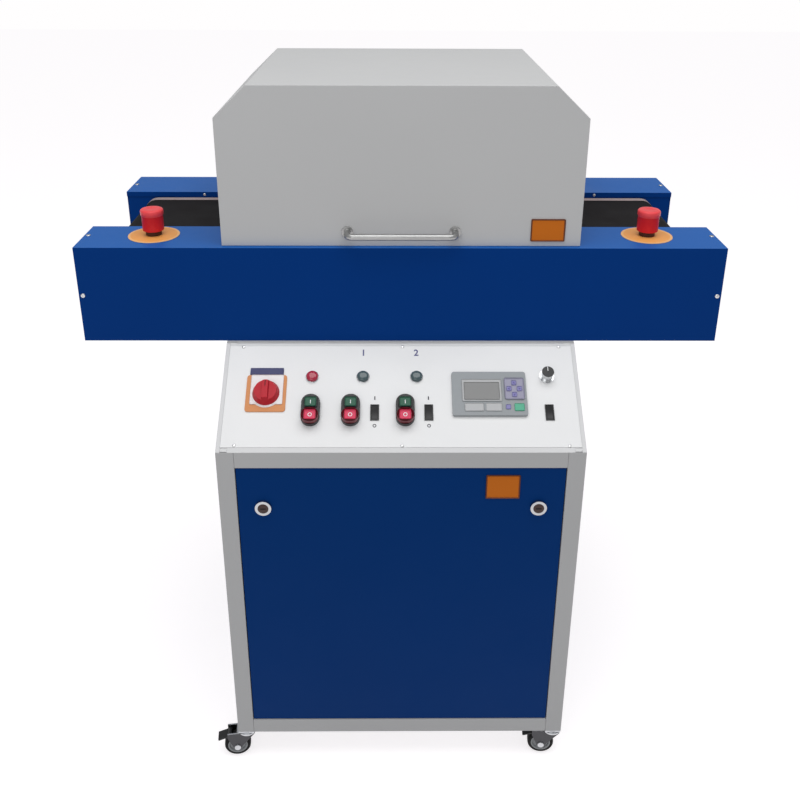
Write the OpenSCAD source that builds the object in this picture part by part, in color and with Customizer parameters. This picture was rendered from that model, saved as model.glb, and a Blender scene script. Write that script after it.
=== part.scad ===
// Curing conveyor: a wheeled cabinet with a sloping control console, a flat
// belt between two long side rails, and a hinged lamp hood over its middle.
// Millimetres, +Z up, +X along the belt, front towards -Y. The origin is on
// the floor under the middle of the whole machine.

/* [Cabinet] */
// Width over the cabinet's side faces
cab_w = 618; // [590:1:680]
// Reach of the cabinet in front of the rails
console_reach = 174; // [172:1:220]
// Height of the front face above the cabinet's underside
front_h = 622; // [570:1:690]
// Side of the square frame tubes
post = 30; // [28:1:34]
// Height of the bottom frame tubes
base_rail_h = 30; // [20:1:34]
// Wall of the frame tubes
tube_wall = 1.5; // [1:0.1:2.5]
// Thickness of the sheet metal panels
sheet = 1.5; // [1:0.1:2]
// Thickness of the floor plate inside the cabinet
floor_t = 2; // [1.5:0.1:4]
// Thickness of the deck under the rails
deck_t = 2; // [1.5:0.1:4]

/* [Console] */
// Depth of the slope, measured level from front to back
slope_run = 168; // [150:1:171]
// Rise of the slope from its front edge to the deck
slope_rise = 123; // [110:1:150]
// Width of the grey border beside the console panel
side_strip = 7; // [5:0.5:10]
// Depth of the grey border below the console panel
bottom_strip = 9; // [6:0.5:12]
// Depth of the grey border above the console panel
top_strip = 8; // [6:0.5:12]
// Thickness of the console panel
panel_t = 2; // [1.5:0.1:3]

/* [Conveyor] */
// Length of the side rails
rail_l = 1124; // [1000:1:1300]
// Depth of each side rail
rail_w = 118; // [98:1:130]
// Height of the side rails
rail_h = 175; // [165:1:200]
// Clear width between the side rails
belt_gap = 226; // [200:1:300]
// Drop of the belt's surface below the rail tops
belt_drop = 11; // [7.5:0.5:25]
// Thickness of the belt
belt_t = 1.2; // [0.8:0.1:2]
// Gap between each belt edge and its rail
belt_side_gap = 3; // [2:0.5:8]
// Radius of the end rollers
roller_r = 25; // [20:0.5:28]
// Distance of the roller axes from the rail ends
roller_end = 66; // [60:1:90]
// Radius of the roller journals
journal_r = 6; // [5:0.5:8]
// Wall of the rail covers
cover_t = 2; // [1.5:0.1:2.5]
// Thickness of the plates that carry the rollers
side_plate_t = 3; // [2:0.5:5]

/* [Hood] */
// Height of the hood's upright sides above the rail tops
hood_side_h = 221; // [215:1:250]
// Height of the hood above the rail tops
hood_h = 274; // [270:1:300]
// Width of the bevel along the hood's upper edges
hood_cut = 56; // [30:1:80]
// Setback of the hood's front from the front rail's face
hood_front_set = 11; // [5:1:20]
// Setback of the hood's back from the rear rail's back
hood_back_set = 1; // [1:0.5:1.5]
// Height of the belt opening in the hood's sides
tunnel_h = 50; // [20:1:60]
// Distance of the lamps from the middle of the hood
lamp_x = 110; // [85:1:150]
// Radius of the lamp tubes
lamp_r = 11; // [8:0.5:14]
// Outer radius of the exhaust duct spigot
spigot_r = 60; // [50:1:62]
// Length of the exhaust duct spigot
spigot_l = 25; // [20:1:40]
// Side of the square exhaust fan
fan_side = 120; // [120:1:126]
// Depth of the exhaust fan
fan_d = 38; // [32:1:45]

/* [Hood handle] */
// Radius of the handle bar
handle_r = 5.5; // [4:0.5:7]
// Distance between the handle's two legs
handle_w = 185; // [120:1:260]
// Distance of the bar's axis in front of the hood
handle_out = 30; // [25:1:45]
// Height of the bar's axis above the rail tops
handle_z = 26; // [20:1:60]

/* [Controls] */
// Side of the isolator's square plate
isolator_side = 69; // [60:1:72]
// Radius of the isolator's handle
isolator_r = 23.5; // [20:0.5:26]
// Width of the double push-buttons
button_w = 32; // [28:0.5:34]
// Length of the double push-buttons
button_l = 56; // [54:0.5:60]
// Travel of the push-buttons
button_travel = 3; // [2:0.5:3.5]
// Width of the rocker switches
rocker_w = 15; // [14:0.5:18]
// Length of the rocker switches
rocker_l = 29; // [27:0.5:32]
// Radius of the signal lamps' bezels
signal_r = 11.5; // [10:0.5:14]
// Width of the display's bezel
display_w = 128; // [110:1:132]
// Length of the display's bezel up the slope
display_l = 82; // [70:1:90]
// Radius of the speed dial
dial_r = 12; // [10:0.5:14]
// Radius of the emergency stops' yellow discs
stop_disc_r = 45; // [40:1:46]
// Radius of the emergency stops' heads
stop_r = 20; // [18:0.5:24]
// Height of the emergency stops above the rail
stop_h = 49; // [45:1:60]
// Distance of the emergency stops from the machine's middle
stop_x = 439; // [400:1:450]

/* [Door] */
// Gap all round the door panel
door_gap = 1.5; // [1:0.25:3]
// Depth of the door's folded edge
door_fold = 18; // [12:1:20]
// Height of the locks below the door's top edge
lock_drop = 77; // [70:1:120]
// Distance of the locks from the door's sides
lock_in = 43; // [38:1:45]
// Radius of the lock heads
lock_r = 14; // [11:0.5:15]

/* [Casters] */
// Height of the cabinet's underside above the floor
caster_h = 64; // [64:1:76]
// Radius of the caster wheels
wheel_r = 25; // [22:0.5:26]
// Width of the caster wheels
wheel_w = 18; // [14:0.5:20]
// Distance from a caster's swivel axis to its wheel's axle
trail = 20; // [16:0.5:22]

/* [Hidden] */
$fn = 72;

// Clearances and overrun
over = 1;
seat = 0.3;
running = 0.05;

// Heights above the floor
z_base = caster_h;
z_floor = z_base + base_rail_h;
z_front = z_base + front_h;
z_deck = z_front + slope_rise;
z_rail = z_deck + rail_h;
belt_z = z_rail - belt_drop;

// The slope of the console
slope_len = norm([slope_run, slope_rise]);
slope_a = atan2(slope_rise, slope_run);

// Places from front to back
lock_proud = 4;
rails_d = 2 * rail_w + belt_gap;
front_reach = console_reach + lock_proud;
back_reach = rails_d - hood_back_set + spigot_l;
rail_y = (front_reach - back_reach) / 2;
y_front = rail_y - console_reach;
y_back = rail_y + rails_d;
gap_y0 = rail_y + rail_w;
gap_y1 = gap_y0 + belt_gap;
belt_y = (gap_y0 + gap_y1) / 2;

// The frame
post_x = cab_w / 2 - post / 2;
inner_w = cab_w - 2 * post;
inner_d = console_reach + rails_d - 2 * post;
panel_set = 3;
rear_set = 12;
vent_w = 90;
vent_gap = 40;
vent_h = 5;
vent_pitch = 14;
vent_rows = 6;
vent_drop = 60;

// Locating lugs for the door, on the front bottom tube
lug_w = 24;
lug_t = 4;
lug_h = 36;
lug_x = 200;
pin_r = 4;
pin_lift = 18;
pin_end = 5;
pin_play = 0.4;

// The floor plate
floor_lap = 4;
floor_side_lap = 18;

// Console border and panel
border_under = 12;
panel_proud = 0.5;
ledge_n = panel_t - panel_proud;

// Places on the console: x as a share of the panel's width, t up the slope from its bottom edge
panel_w = cab_w - 2 * side_strip - 2 * seat;
isolator_x_share = -0.3844;
button_x_shares = [-0.2552, -0.1425, 0.0116];
rocker_x_shares = [-0.0746, 0.0779, 0.4193];
signal_x_shares = [-0.2552, -0.1094, 0.0447];
display_x_share = 0.2511;
dial_x_share = 0.4201;
isolator_x = isolator_x_share * panel_w;
button_x = button_x_shares * panel_w;
rocker_x = rocker_x_shares * panel_w;
signal_x = signal_x_shares * panel_w;
display_x = display_x_share * panel_w;
dial_x = dial_x_share * panel_w;
isolator_t = 107.5;
button_t = 75;
rocker_t = 72;
signal_t = 139;
display_t = 105.5;
dial_t = 140;

// Push-buttons
bezel_h = 9;
button_round_share = 0.48;
button_floor = 1;
cap_w = 23;
cap_l = 20;
cap_pitch = 25;
start_cap_h = 11;
stop_cap_h = 14;
cap_round = 3;
neck_r = 11;
hole_play = 0.2;
neck_l = 10;
block_w = 30;
block_l = 40;
block_h = 28;

// Rocker switches
rocker_rim = 1.8;
rocker_rim_h = 2;
rocker_body_l = 18;
rocker_pocket = 8;
rocker_play = 0.4;
rocker_tilt = 10;
rocker_pivot = 2;
rocker_top = 3.5;
rocker_dip = 1;
rocker_low = 3;
rocker_belly = 5;
rocker_pin_r = 1;

// Signal lamps
signal_h = 4;
lens_r = 8.5;
lens_h = 4;
signal_body_r = 8;
signal_body_l = 30;

// Speed dial
collar_r = 13;
collar_h = 2;
dial_shaft_r = 3;
dial_shaft_l = 10;
dial_h = 17;
dial_skirt_h = 3;
dial_body_r = 12;
dial_body_l = 12;
dial_hole_r = 5;
pointer_w = 1.6;

// Isolator
plate_t = 2;
plate_round = 5;
shroud_r = 27;
shroud_h = 3;
isolator_shaft_r = 4;
isolator_shaft_l = 16;
isolator_disc_h = 12;
isolator_grip_w = 14;
isolator_grip_h = 6;
isolator_hole_r = 15;
isolator_body = 48;
isolator_body_l = 36;
isolator_neck_l = 6;

// Display
display_h = 6;
display_round = 4;
display_body_w = 118;
display_body_l = 72;
display_body_d = 28;
display_lip = 0.5;
lcd_w = 62;
lcd_l = 34;
lcd_deep = 1;
lcd_x = -13;
lcd_t = 6;
key_side = 9;
key_rise = 0.6;
key_pitch = 11;
key_step = 9;
key_x = 43;
key_t = 9;
soft_key_w = 27;
soft_key_l = 11;
soft_key_x = [-29, 3];
soft_key_t = -26;

// Emergency stops
stop_y = rail_w / 2 + 10;
disc_t = 1;
stop_neck_r = 14;
stop_neck_h = 14;
stop_skirt = 10;
stop_travel = 4;
stop_recess = stop_neck_h + stop_travel + seat;
stop_edge = 3;
stop_body_r = 15;
stop_body_l = 45;

// Rail covers, side plates, bearings and rollers
cover_lip = 9.8;
roller_clear = 0.3;
roller_x = rail_l / 2 - roller_end;
roller_z = belt_z - belt_t - roller_clear - roller_r;
belt_w = belt_gap - 2 * belt_side_gap;
drum_gap = 4;
boss_r = 13.5;
boss_l = 12;
boss_hole = 14;
flange_w = 50;
flange_t = 4;
journal_end = 24;
plate_front_y = gap_y0 - cover_t - side_plate_t;
plate_rear_y = gap_y1 + cover_t;
bed_t = 2;
bed_end = 7;
bed_fold = 20;
bed_x = roller_x - roller_r - roller_clear - belt_t - bed_end;

// Gearmotor
gearbox_w = 70;
gearbox_h = 62;
gearbox_l = 60;
gearbox_gap = 27;
motor_r = 30;
motor_l = 120;
motor_fan_r = 28;
motor_fan_l = 14;
foot_r = 4;
foot_x = 30;
foot_z = 26;
drive_tail = 4;

// Hood
hood_x = cab_w / 2;
hood_y0 = rail_y + hood_front_set;
hood_y1 = y_back - hood_back_set;
z_hood = z_rail + seat;
z_hood_side = z_rail + hood_side_h;
z_hood_top = z_rail + hood_h;
hood_fold = 12;
tunnel_set = 6;
bevel_rise = hood_h - hood_side_h;
bevel_len = norm([hood_cut, bevel_rise]);

// Lamps and reflectors
carrier_t = 2;
carrier_rise = 166;
carrier_z = z_rail + carrier_rise;
carrier_front = 30;
carrier_back = 55;
reflector_l = 290;
reflector_h = 92;
reflector_w = 120;
reflector_top_w = 60;
reflector_t = 2;
lamp_l = 236;
lamp_drop = 55;
lamp_end_r = 9;
lamp_end_l = 22;
holder_w = 30;
holder_t = 5;
holder_play = 0.25;

// Exhaust fan
fan_rise = 200;
fan_z = z_rail + fan_rise;
fan_bore_r = 57;
fan_hole_r = 57;
fan_hub_r = 20;
fan_strut_w = 8;
fan_strut_t = 4;
fan_strut_set = 0.5;
fan_strut_y = fan_strut_set + fan_strut_t;
fan_round = 6;
spigot_wall = 2;
spigot_flange_r = 67;
spigot_flange_t = 2;
rotor_r = 54;
rotor_hub_r = 19;
rotor_hub_l = 24;
rotor_shaft_r = 3;
rotor_shaft_l = 18;
blade_w = 24;
blade_t = 2;
blade_pitch = 35;
blade_count = 7;
fan_gap = 1;

// Hood hinges
hinge_x = 200;
hinge_w = 60;
hinge_r = 6;
hinge_pin_r = 2.5;
hinge_t = 2;
hinge_leaf = 26;
hinge_rise = 7;
hinge_mid = 20;
hinge_step = 12;
hinge_y = y_back + hinge_r;
hinge_z = z_rail + hinge_rise;

// Handle
handle_foot_r = 10;
handle_foot_t = 4;
handle_bend = 12;

// Door
door_set = 2;
door_w = inner_w - 2 * door_gap;
door_h = front_h - base_rail_h - post - 2 * door_gap;
door_y = y_front + door_set;
door_z = z_floor + door_gap;
rib_w = 40;
rib_d = 10;
rib_x = 90;
rib_end = 60;
lock_body_r = 9;
lock_play = 0.3;
lock_x = door_w / 2 - lock_in;
lock_z = door_z + door_h - lock_drop;
tongue_gap = 2;
tongue_t = 3;
tongue_w = 16;
tongue_reach = 12;
tongue_l = lock_in + door_gap + tongue_reach;
head_t = lock_proud + door_set;
slot_deep = 1.5;
slot_h = 3;
slot_l = 18;

// Inside the cabinet
ballast_x = 130;
ballast_y = 60;
ballast_w = 110;
ballast_d = 90;
ballast_h = 120;
coil_w = 80;
coil_d = 130;
coil_h = 70;
ballast_foot_w = 150;
ballast_foot_t = 4;
mount_w = 440;
mount_h = 380;
mount_t = 3;
mount_z = 220;
stand_r = 6;
stand_in = 20;
stand_x = mount_w / 2 - stand_in;
stand_z = 170;
stand_l = 40;
mount_y = y_back - rear_set - sheet - stand_l;
rail_bar_in = 20;
rail_bar_w = mount_w - 2 * rail_bar_in;
rail_bar_h = 35;
rail_bar_t = 7;
contactor_x_shares = [-0.3409, -0.2159, -0.0909];
contactor_x = contactor_x_shares * mount_w;
contactor_w = 45;
contactor_h = 80;
contactor_d = 75;
contactor_z = 470;
drive_x_share = 0.2045;
drive_x = drive_x_share * mount_w;
drive_w = 110;
drive_h = 160;
drive_d = 95;
drive_z = 440;
terminal_w = 300;
terminal_h = 45;
terminal_d = 40;
terminal_z = 290;

// Cable gland
gland_x = -180;
gland_z = 160;
gland_r = 14;
gland_bore_r = 6.5;
gland_nut_r = 17;
gland_nut_l = 6;
gland_dome_l = 14;
gland_thread_r = 12;
gland_back = 12;
gland_hole_play = 0.3;

// Casters: the turn of each fork about its swivel axis, in degrees
caster_turn = [187, 176, 196, 170];
caster_side = [-1, 1, -1, 1];
caster_back = [0, 0, 1, 1];
stem_flange_t = 3;
stem_plug_h = 30;
plug_play = 0.3;
kingpin_r = 4;
kingpin_head_r = 7;
kingpin_head_t = 3;
crown_disc_r = 18;
crown_t = 3;
crown_drop = 8;
crown_z = caster_h - crown_drop;
race_r = 16;
leg_t = 2.5;
leg_gap = 1.5;
leg_root = 14;
leg_back = 38;
leg_foot_r = 8;
axle_r = 4;
axle_head_r = 6;
axle_head_t = 2;
hub_gap = 0.4;
hub_r = 9;
tread_round = 3;
brake_x = 33;
brake_drop = 5;
brake_z = crown_z - brake_drop;
brake_pin_r = 2;
brake_eye_r = 3.8;
brake_l = 24;
brake_slope = 18;
brake_t = 3;
brake_side_gap = 0.5;

// Places children on the console slope, with Z along its outward normal
module on_console(x, t) {
    translate([x, y_front, z_front])
        rotate([slope_a, 0, 0])
            translate([0, t, 0])
                children();
}

// Places children on the face of the console panel
module on_panel(x, t) {
    on_console(x, t)
        translate([0, 0, panel_proud])
            children();
}

// A square-cut plate with round corners, standing on z = 0
module round_plate(w, l, h, r) {
    linear_extrude(height = h)
        round_outline(w, l, r);
}

module round_outline(w, l, r) {
    square([w - 2 * r, l], center = true);
    square([w, l - 2 * r], center = true);
    for (sx = [-1, 1], sy = [-1, 1])
        translate([sx * (w / 2 - r), sy * (l / 2 - r)])
            circle(r = r);
}

module block(w, l, h) {
    translate([-w / 2, -l / 2, 0])
        cube([w, l, h]);
}

// A round bar along +Y from y = 0
module bar_y(r, l) {
    rotate([-90, 0, 0])
        cylinder(r = r, h = l);
}

// A round bar along +X from x = 0
module bar_x(r, l) {
    rotate([0, 90, 0])
        cylinder(r = r, h = l);
}

// Rows of vent slots through an upright panel, centred on x = 0
module vents(deep) {
    for (row = [0:vent_rows - 1], side = [-1, 1])
        translate([side * (vent_w + vent_gap) / 2 - vent_w / 2, -deep / 2, -row * vent_pitch])
            cube([vent_w, deep, vent_h]);
}

// Frame

// Four corner posts of square tube
module frame_posts() {
    color("silver")
        for (side = [-1, 1], y = [y_front + post / 2, y_back - post / 2])
            translate([side * post_x, y, z_base])
                difference() {
                    block(post, post, front_h);
                    translate([0, 0, -over])
                        block(post - 2 * tube_wall, post - 2 * tube_wall, front_h + 2 * over);
                }
}

module tube_x(l, h) {
    difference() {
        translate([-l / 2, 0, 0])
            cube([l, post, h]);
        translate([-l / 2 - over, tube_wall, tube_wall])
            cube([l + 2 * over, post - 2 * tube_wall, h - 2 * tube_wall]);
    }
}

module tube_y(l, h) {
    difference() {
        translate([-post / 2, 0, 0])
            cube([post, l, h]);
        translate([-post / 2 + tube_wall, -over, tube_wall])
            cube([post - 2 * tube_wall, l + 2 * over, h - 2 * tube_wall]);
    }
}

// The level tubes between the posts, and the two lugs that locate the door
module frame_rails() {
    color("silver") {
        for (y = [y_front, y_back - post]) {
            translate([0, y, z_base])
                tube_x(inner_w - 2 * seat, base_rail_h);
            translate([0, y, z_front - post])
                tube_x(inner_w - 2 * seat, post);
        }
        for (side = [-1, 1]) {
            translate([side * post_x, y_front + post, z_base])
                tube_y(inner_d, base_rail_h);
            translate([side * post_x, y_front + post, z_front - post])
                tube_y(inner_d, post);
        }
        for (side = [-1, 1])
            translate([side * lug_x, door_y + door_fold + over, z_floor + seat])
                difference() {
                    translate([-lug_w / 2, 0, 0])
                        cube([lug_w, lug_t, lug_h]);
                    translate([0, -over, pin_lift - seat])
                        bar_y(pin_r + pin_play, lug_t + 2 * over);
                }
    }
}

// Floor plate lying on the bottom tubes, notched round the posts
module base_plate() {
    lug_back = door_y + door_fold + over + lug_t + seat;
    color("gainsboro")
        difference() {
            translate([-inner_w / 2 - floor_side_lap, lug_back, z_floor])
                cube([inner_w + 2 * floor_side_lap, y_back - post + floor_lap - lug_back, floor_t]);
            for (side = [-1, 1], y = [y_front, y_back - post])
                translate([side * post_x, y + post / 2, z_floor - over])
                    block(post + 2 * seat, post + 2 * seat, floor_t + 2 * over);
        }
}

// Side panels set between the posts, with vent slots
module side_panels() {
    color("midnightblue")
        for (side = [-1, 1])
            difference() {
                translate([side * (cab_w / 2 - panel_set - sheet / 2), y_front + post + inner_d / 2, z_floor])
                    block(sheet, inner_d, front_h - base_rail_h - post);
                translate([side * (cab_w / 2 - panel_set - sheet / 2), y_front + post + inner_d / 2,
                        z_front - post - vent_drop])
                    rotate([0, 0, 90])
                        vents(sheet + 2 * over);
            }
}

// Lower and upper rear panels; the lower one has vents and the gland's hole
module rear_panels() {
    color("midnightblue") {
        difference() {
            translate([0, y_back - rear_set - sheet / 2, z_floor])
                block(inner_w, sheet, front_h - base_rail_h - post);
            translate([0, y_back - rear_set - sheet / 2, z_front - post - vent_drop])
                vents(sheet + 2 * over);
            translate([gland_x, y_back - rear_set - sheet - over, gland_z])
                bar_y(gland_thread_r + gland_hole_play, sheet + 2 * over);
        }
        translate([0, y_back - sheet / 2, z_front])
            block(cab_w - 2 * sheet - 2 * seat, sheet, slope_rise - deck_t);
    }
}

// Keeps the console's border between the frame and the deck
module within_console() {
    intersection() {
        children();
        translate([-cab_w / 2, y_front, z_front])
            cube([cab_w, slope_run + border_under, slope_rise - deck_t]);
    }
}

// A border strip on the slope with the ledge that the panel lies on: w across,
// from t0 to t1 up the slope, the strip above the ledge from t2 to t3
module border_piece(w, t0, t1, ledge_w, t2, t3) {
    translate([0, (t2 + t3) / 2, -ledge_n - sheet])
        block(ledge_w, t3 - t2, sheet);
    translate([0, (t0 + t1) / 2, -ledge_n - sheet])
        block(w, t1 - t0, ledge_n + sheet);
}

// Cheeks with their border strips, and the border's bottom and top strips
module console_surround() {
    cross_w = cab_w - 2 * (side_strip + border_under + seat);
    color("silver") {
        for (side = [-1, 1]) {
            translate([side * (cab_w / 2 - sheet / 2) - sheet / 2, 0, 0])
                rotate([90, 0, 90])
                    linear_extrude(height = sheet)
                        polygon([[y_front, z_front], [y_back, z_front], [y_back, z_deck - deck_t],
                            [y_front + slope_run * (slope_rise - deck_t) / slope_rise, z_deck - deck_t]]);
            within_console()
                on_console(side * (cab_w / 2 - side_strip / 2), 0) {
                    translate([0, 0, -ledge_n - sheet])
                        block(side_strip, 2 * slope_len, ledge_n + sheet);
                    translate([-side * border_under / 2, 0, -ledge_n - sheet])
                        block(side_strip + border_under, 2 * slope_len, sheet);
                }
        }
        within_console()
            on_console(0, 0)
                border_piece(cross_w, 0, bottom_strip, cross_w, 0, bottom_strip + border_under);
        within_console()
            on_console(0, slope_len)
                border_piece(cross_w, -top_strip, top_strip, cross_w, -top_strip - border_under, top_strip);
    }
}

// The plate that carries the controls, with its cut-outs
module console_panel() {
    panel_l = slope_len - bottom_strip - top_strip - 2 * seat;
    color("whitesmoke")
        difference() {
            on_console(0, bottom_strip + seat + panel_l / 2)
                translate([0, 0, panel_proud - panel_t])
                    block(panel_w, panel_l, panel_t);
            on_panel(isolator_x, isolator_t)
                through(isolator_hole_r);
            for (x = button_x)
                on_panel(x, button_t)
                    through(neck_r + hole_play);
            for (x = signal_x)
                on_panel(x, signal_t)
                    through(signal_body_r + hole_play);
            on_panel(dial_x, dial_t)
                through(dial_hole_r);
            for (x = rocker_x)
                on_panel(x, rocker_t)
                    translate([0, 0, -panel_t - over])
                        block(rocker_w - rocker_rim + hole_play, rocker_l - rocker_rim + hole_play,
                            panel_t + 2 * over);
            on_panel(display_x, display_t)
                translate([0, 0, -panel_t - over])
                    block(display_body_w + hole_play, display_body_l + hole_play, panel_t + 2 * over);
        }
}

module through(r) {
    translate([0, 0, -panel_t - over])
        cylinder(r = r, h = panel_t + 2 * over);
}

// Deck that closes the cabinet under the rails
module top_deck() {
    color("silver")
        translate([-cab_w / 2, y_front + slope_run, z_deck - deck_t])
            cube([cab_w, y_back - y_front - slope_run, deck_t]);
}

// Conveyor

// One rail cover with its outer face on y = 0 and its inner lip at y = rail_w
module rail_cover() {
    difference() {
        translate([-rail_l / 2, 0, z_deck])
            cube([rail_l, rail_w, rail_h]);
        translate([-rail_l / 2 + cover_t, cover_t, z_deck + cover_t])
            cube([rail_l - 2 * cover_t, rail_w - 2 * cover_t, rail_h - 2 * cover_t]);
        translate([-rail_l / 2 - over, rail_w - cover_t - seat, z_deck - over])
            cube([rail_l + 2 * over, cover_t + seat + over, rail_h - cover_lip + over]);
    }
}

module rail_cover_front() {
    color("navy")
        difference() {
            translate([0, rail_y, 0])
                rail_cover();
            for (side = [-1, 1])
                translate([side * stop_x, rail_y + stop_y, z_rail - cover_t - over])
                    cylinder(r = stop_body_r + hole_play, h = cover_t + 2 * over);
        }
}

module rail_cover_rear() {
    color("navy")
        translate([0, y_back, 0])
            mirror([0, 1, 0])
                rail_cover();
}

// Long plates behind the covers' lips that carry the rollers and the bed
module conveyor_side_plates() {
    color("navy")
        for (y = [plate_front_y, plate_rear_y])
            difference() {
                translate([-rail_l / 2 + cover_t + seat, y, z_deck + cover_t])
                    cube([rail_l - 2 * cover_t - 2 * seat, side_plate_t, rail_h - 2 * cover_t - seat]);
                for (side = [-1, 1])
                    translate([side * roller_x, y - over, roller_z])
                        bar_y(boss_hole, side_plate_t + 2 * over);
            }
}

// Flat bed under the belt's upper run, folded down along both edges
module slider_bed() {
    bed_y0 = plate_front_y + side_plate_t;
    bed_y1 = plate_rear_y;
    bed_top = belt_z - belt_t - roller_clear;
    color("lightgray")
        difference() {
            translate([-bed_x, bed_y0, bed_top - bed_fold])
                cube([2 * bed_x, bed_y1 - bed_y0, bed_fold]);
            translate([-bed_x - over, bed_y0 + bed_t, bed_top - bed_fold - over])
                cube([2 * bed_x + 2 * over, bed_y1 - bed_y0 - 2 * bed_t, bed_fold - bed_t + over]);
        }
}

module belt_outline(r) {
    square([2 * roller_x, 2 * r], center = true);
    for (side = [-1, 1])
        translate([side * roller_x, 0])
            circle(r = r);
}

// Endless belt round both rollers
module belt() {
    color([0.13, 0.12, 0.12])
        translate([0, belt_y + belt_w / 2, roller_z])
            rotate([90, 0, 0])
                linear_extrude(height = belt_w)
                    difference() {
                        belt_outline(roller_r + roller_clear + belt_t);
                        belt_outline(roller_r + roller_clear);
                    }
}

// Flange bearing with its flange face on y = 0 and its boss reaching to +Y
module flange_bearing() {
    difference() {
        union() {
            translate([-flange_w / 2, -flange_t, -flange_w / 2])
                cube([flange_w, flange_t, flange_w]);
            translate([0, -boss_l, 0])
                bar_y(boss_r, boss_l + side_plate_t);
        }
        translate([0, -boss_l - over, 0])
            bar_y(journal_r + running, boss_l + side_plate_t + 2 * over);
    }
}

module roller_bearings() {
    color("dimgray")
        for (side = [-1, 1]) {
            translate([side * roller_x, plate_front_y, roller_z])
                flange_bearing();
            translate([side * roller_x, plate_rear_y + side_plate_t, roller_z])
                mirror([0, 1, 0])
                    flange_bearing();
        }
}

// Roller with its journals; tail is how far the rear journal runs past the gap
module roller(tail) {
    translate([0, gap_y0 + drum_gap, 0])
        bar_y(roller_r, belt_gap - 2 * drum_gap);
    translate([0, gap_y0 - journal_end, 0])
        bar_y(journal_r, journal_end + belt_gap + tail);
}

module drive_roller() {
    color("gray")
        translate([roller_x, 0, roller_z])
            roller(gearbox_gap + gearbox_l + drive_tail);
}

module idler_roller() {
    color("gray")
        translate([-roller_x, 0, roller_z])
            roller(journal_end);
}

// Hollow-shaft gearbox on the drive roller's journal, with its motor
module gearmotor() {
    color("slategray")
        translate([roller_x, gap_y1 + gearbox_gap, roller_z]) {
            difference() {
                union() {
                    translate([-gearbox_w / 2, 0, -gearbox_h / 2])
                        cube([gearbox_w, gearbox_l, gearbox_h]);
                    for (sx = [-1, 1], sz = [-1, 1])
                        translate([sx * foot_x, -gearbox_gap + cover_t + side_plate_t, sz * foot_z])
                            bar_y(foot_r, gearbox_gap);
                }
                translate([0, -over, 0])
                    bar_y(journal_r + running, gearbox_l + 2 * over);
            }
            translate([-gearbox_w / 2 - motor_l, gearbox_l / 2, 0])
                bar_x(motor_r, motor_l + over);
            translate([-gearbox_w / 2 - motor_l - motor_fan_l, gearbox_l / 2, 0])
                bar_x(motor_fan_r, motor_fan_l + over);
        }
}

// Controls on the rails

// Yellow discs, necks and switch bodies of the emergency stops
module estop_bases() {
    for (side = [-1, 1])
        translate([side * stop_x, rail_y + stop_y, z_rail]) {
            color("goldenrod")
                cylinder(r = stop_disc_r, h = disc_t);
            color("black")
                translate([0, 0, -stop_body_l])
                    cylinder(r = stop_body_r, h = stop_body_l + disc_t);
            color("black")
                cylinder(r = stop_neck_r, h = stop_neck_h);
        }
}

// Push head of an emergency stop, hollow underneath where it slides on its neck
module estop_head(side) {
    color("crimson")
        translate([side * stop_x, rail_y + stop_y, z_rail])
            rotate_extrude()
                polygon([[stop_neck_r + seat, stop_skirt], [stop_r, stop_skirt],
                    [stop_r, stop_h - stop_edge], [stop_r - stop_edge, stop_h],
                    [0, stop_h], [0, stop_recess], [stop_neck_r + seat, stop_recess]]);
}

// Controls on the console

// Square yellow plate, shroud, shaft and body of the main isolator
module isolator_base() {
    on_panel(isolator_x, isolator_t) {
        color("gold")
            round_plate(isolator_side, isolator_side, plate_t, plate_round);
        color("gold")
            cylinder(r = shroud_r, h = shroud_h);
        color("dimgray")
            cylinder(r = isolator_shaft_r, h = isolator_shaft_l);
        color("dimgray") {
            translate([0, 0, -panel_t - isolator_neck_l])
                cylinder(r = isolator_hole_r - hole_play, h = panel_t + isolator_neck_l);
            translate([0, 0, -panel_t - isolator_neck_l - isolator_body_l])
                block(isolator_body, isolator_body, isolator_body_l);
        }
    }
}

// Round red handle with a raised grip bar
module isolator_handle() {
    color("red")
        on_panel(isolator_x, isolator_t)
            translate([0, 0, shroud_h + seat])
                difference() {
                    union() {
                        cylinder(r = isolator_r, h = isolator_disc_h);
                        intersection() {
                            cylinder(r = isolator_r, h = isolator_disc_h + isolator_grip_h);
                            block(isolator_grip_w, 2 * isolator_r, isolator_disc_h + isolator_grip_h);
                        }
                    }
                    translate([0, 0, -over])
                        cylinder(r = isolator_shaft_r + running, h = isolator_shaft_l - shroud_h + over);
                }
}

// Housings of the push-buttons, rockers, signal lamps and speed dial
module panel_bezels() {
    for (x = button_x)
        on_panel(x, button_t)
            button_housing();
    for (x = rocker_x)
        on_panel(x, rocker_t)
            rocker_frame();
    for (i = [0:2])
        on_panel(signal_x[i], signal_t)
            signal_lamp(i == 0 ? "red" : "green");
    on_panel(dial_x, dial_t)
        dial_collar();
}

module button_housing() {
    color("dimgray") {
        difference() {
            linear_extrude(height = bezel_h)
                round_outline(button_w, button_l, button_w * button_round_share);
            for (side = [-1, 1])
                translate([0, side * cap_pitch / 2, button_floor])
                    linear_extrude(height = bezel_h)
                        round_outline(cap_w + 2 * seat, cap_l + 2 * seat, cap_round + seat);
        }
        translate([0, 0, -panel_t - neck_l])
            cylinder(r = neck_r, h = panel_t + neck_l);
        translate([0, 0, -panel_t - neck_l - block_h])
            block(block_w, block_l, block_h);
    }
}

// Green cap, nearly flush with its housing
module start_button(i) {
    color("seagreen")
        on_panel(button_x[i], button_t)
            translate([0, cap_pitch / 2, button_floor + button_travel + seat])
                round_plate(cap_w, cap_l, start_cap_h - button_floor - button_travel - seat, cap_round);
}

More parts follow.
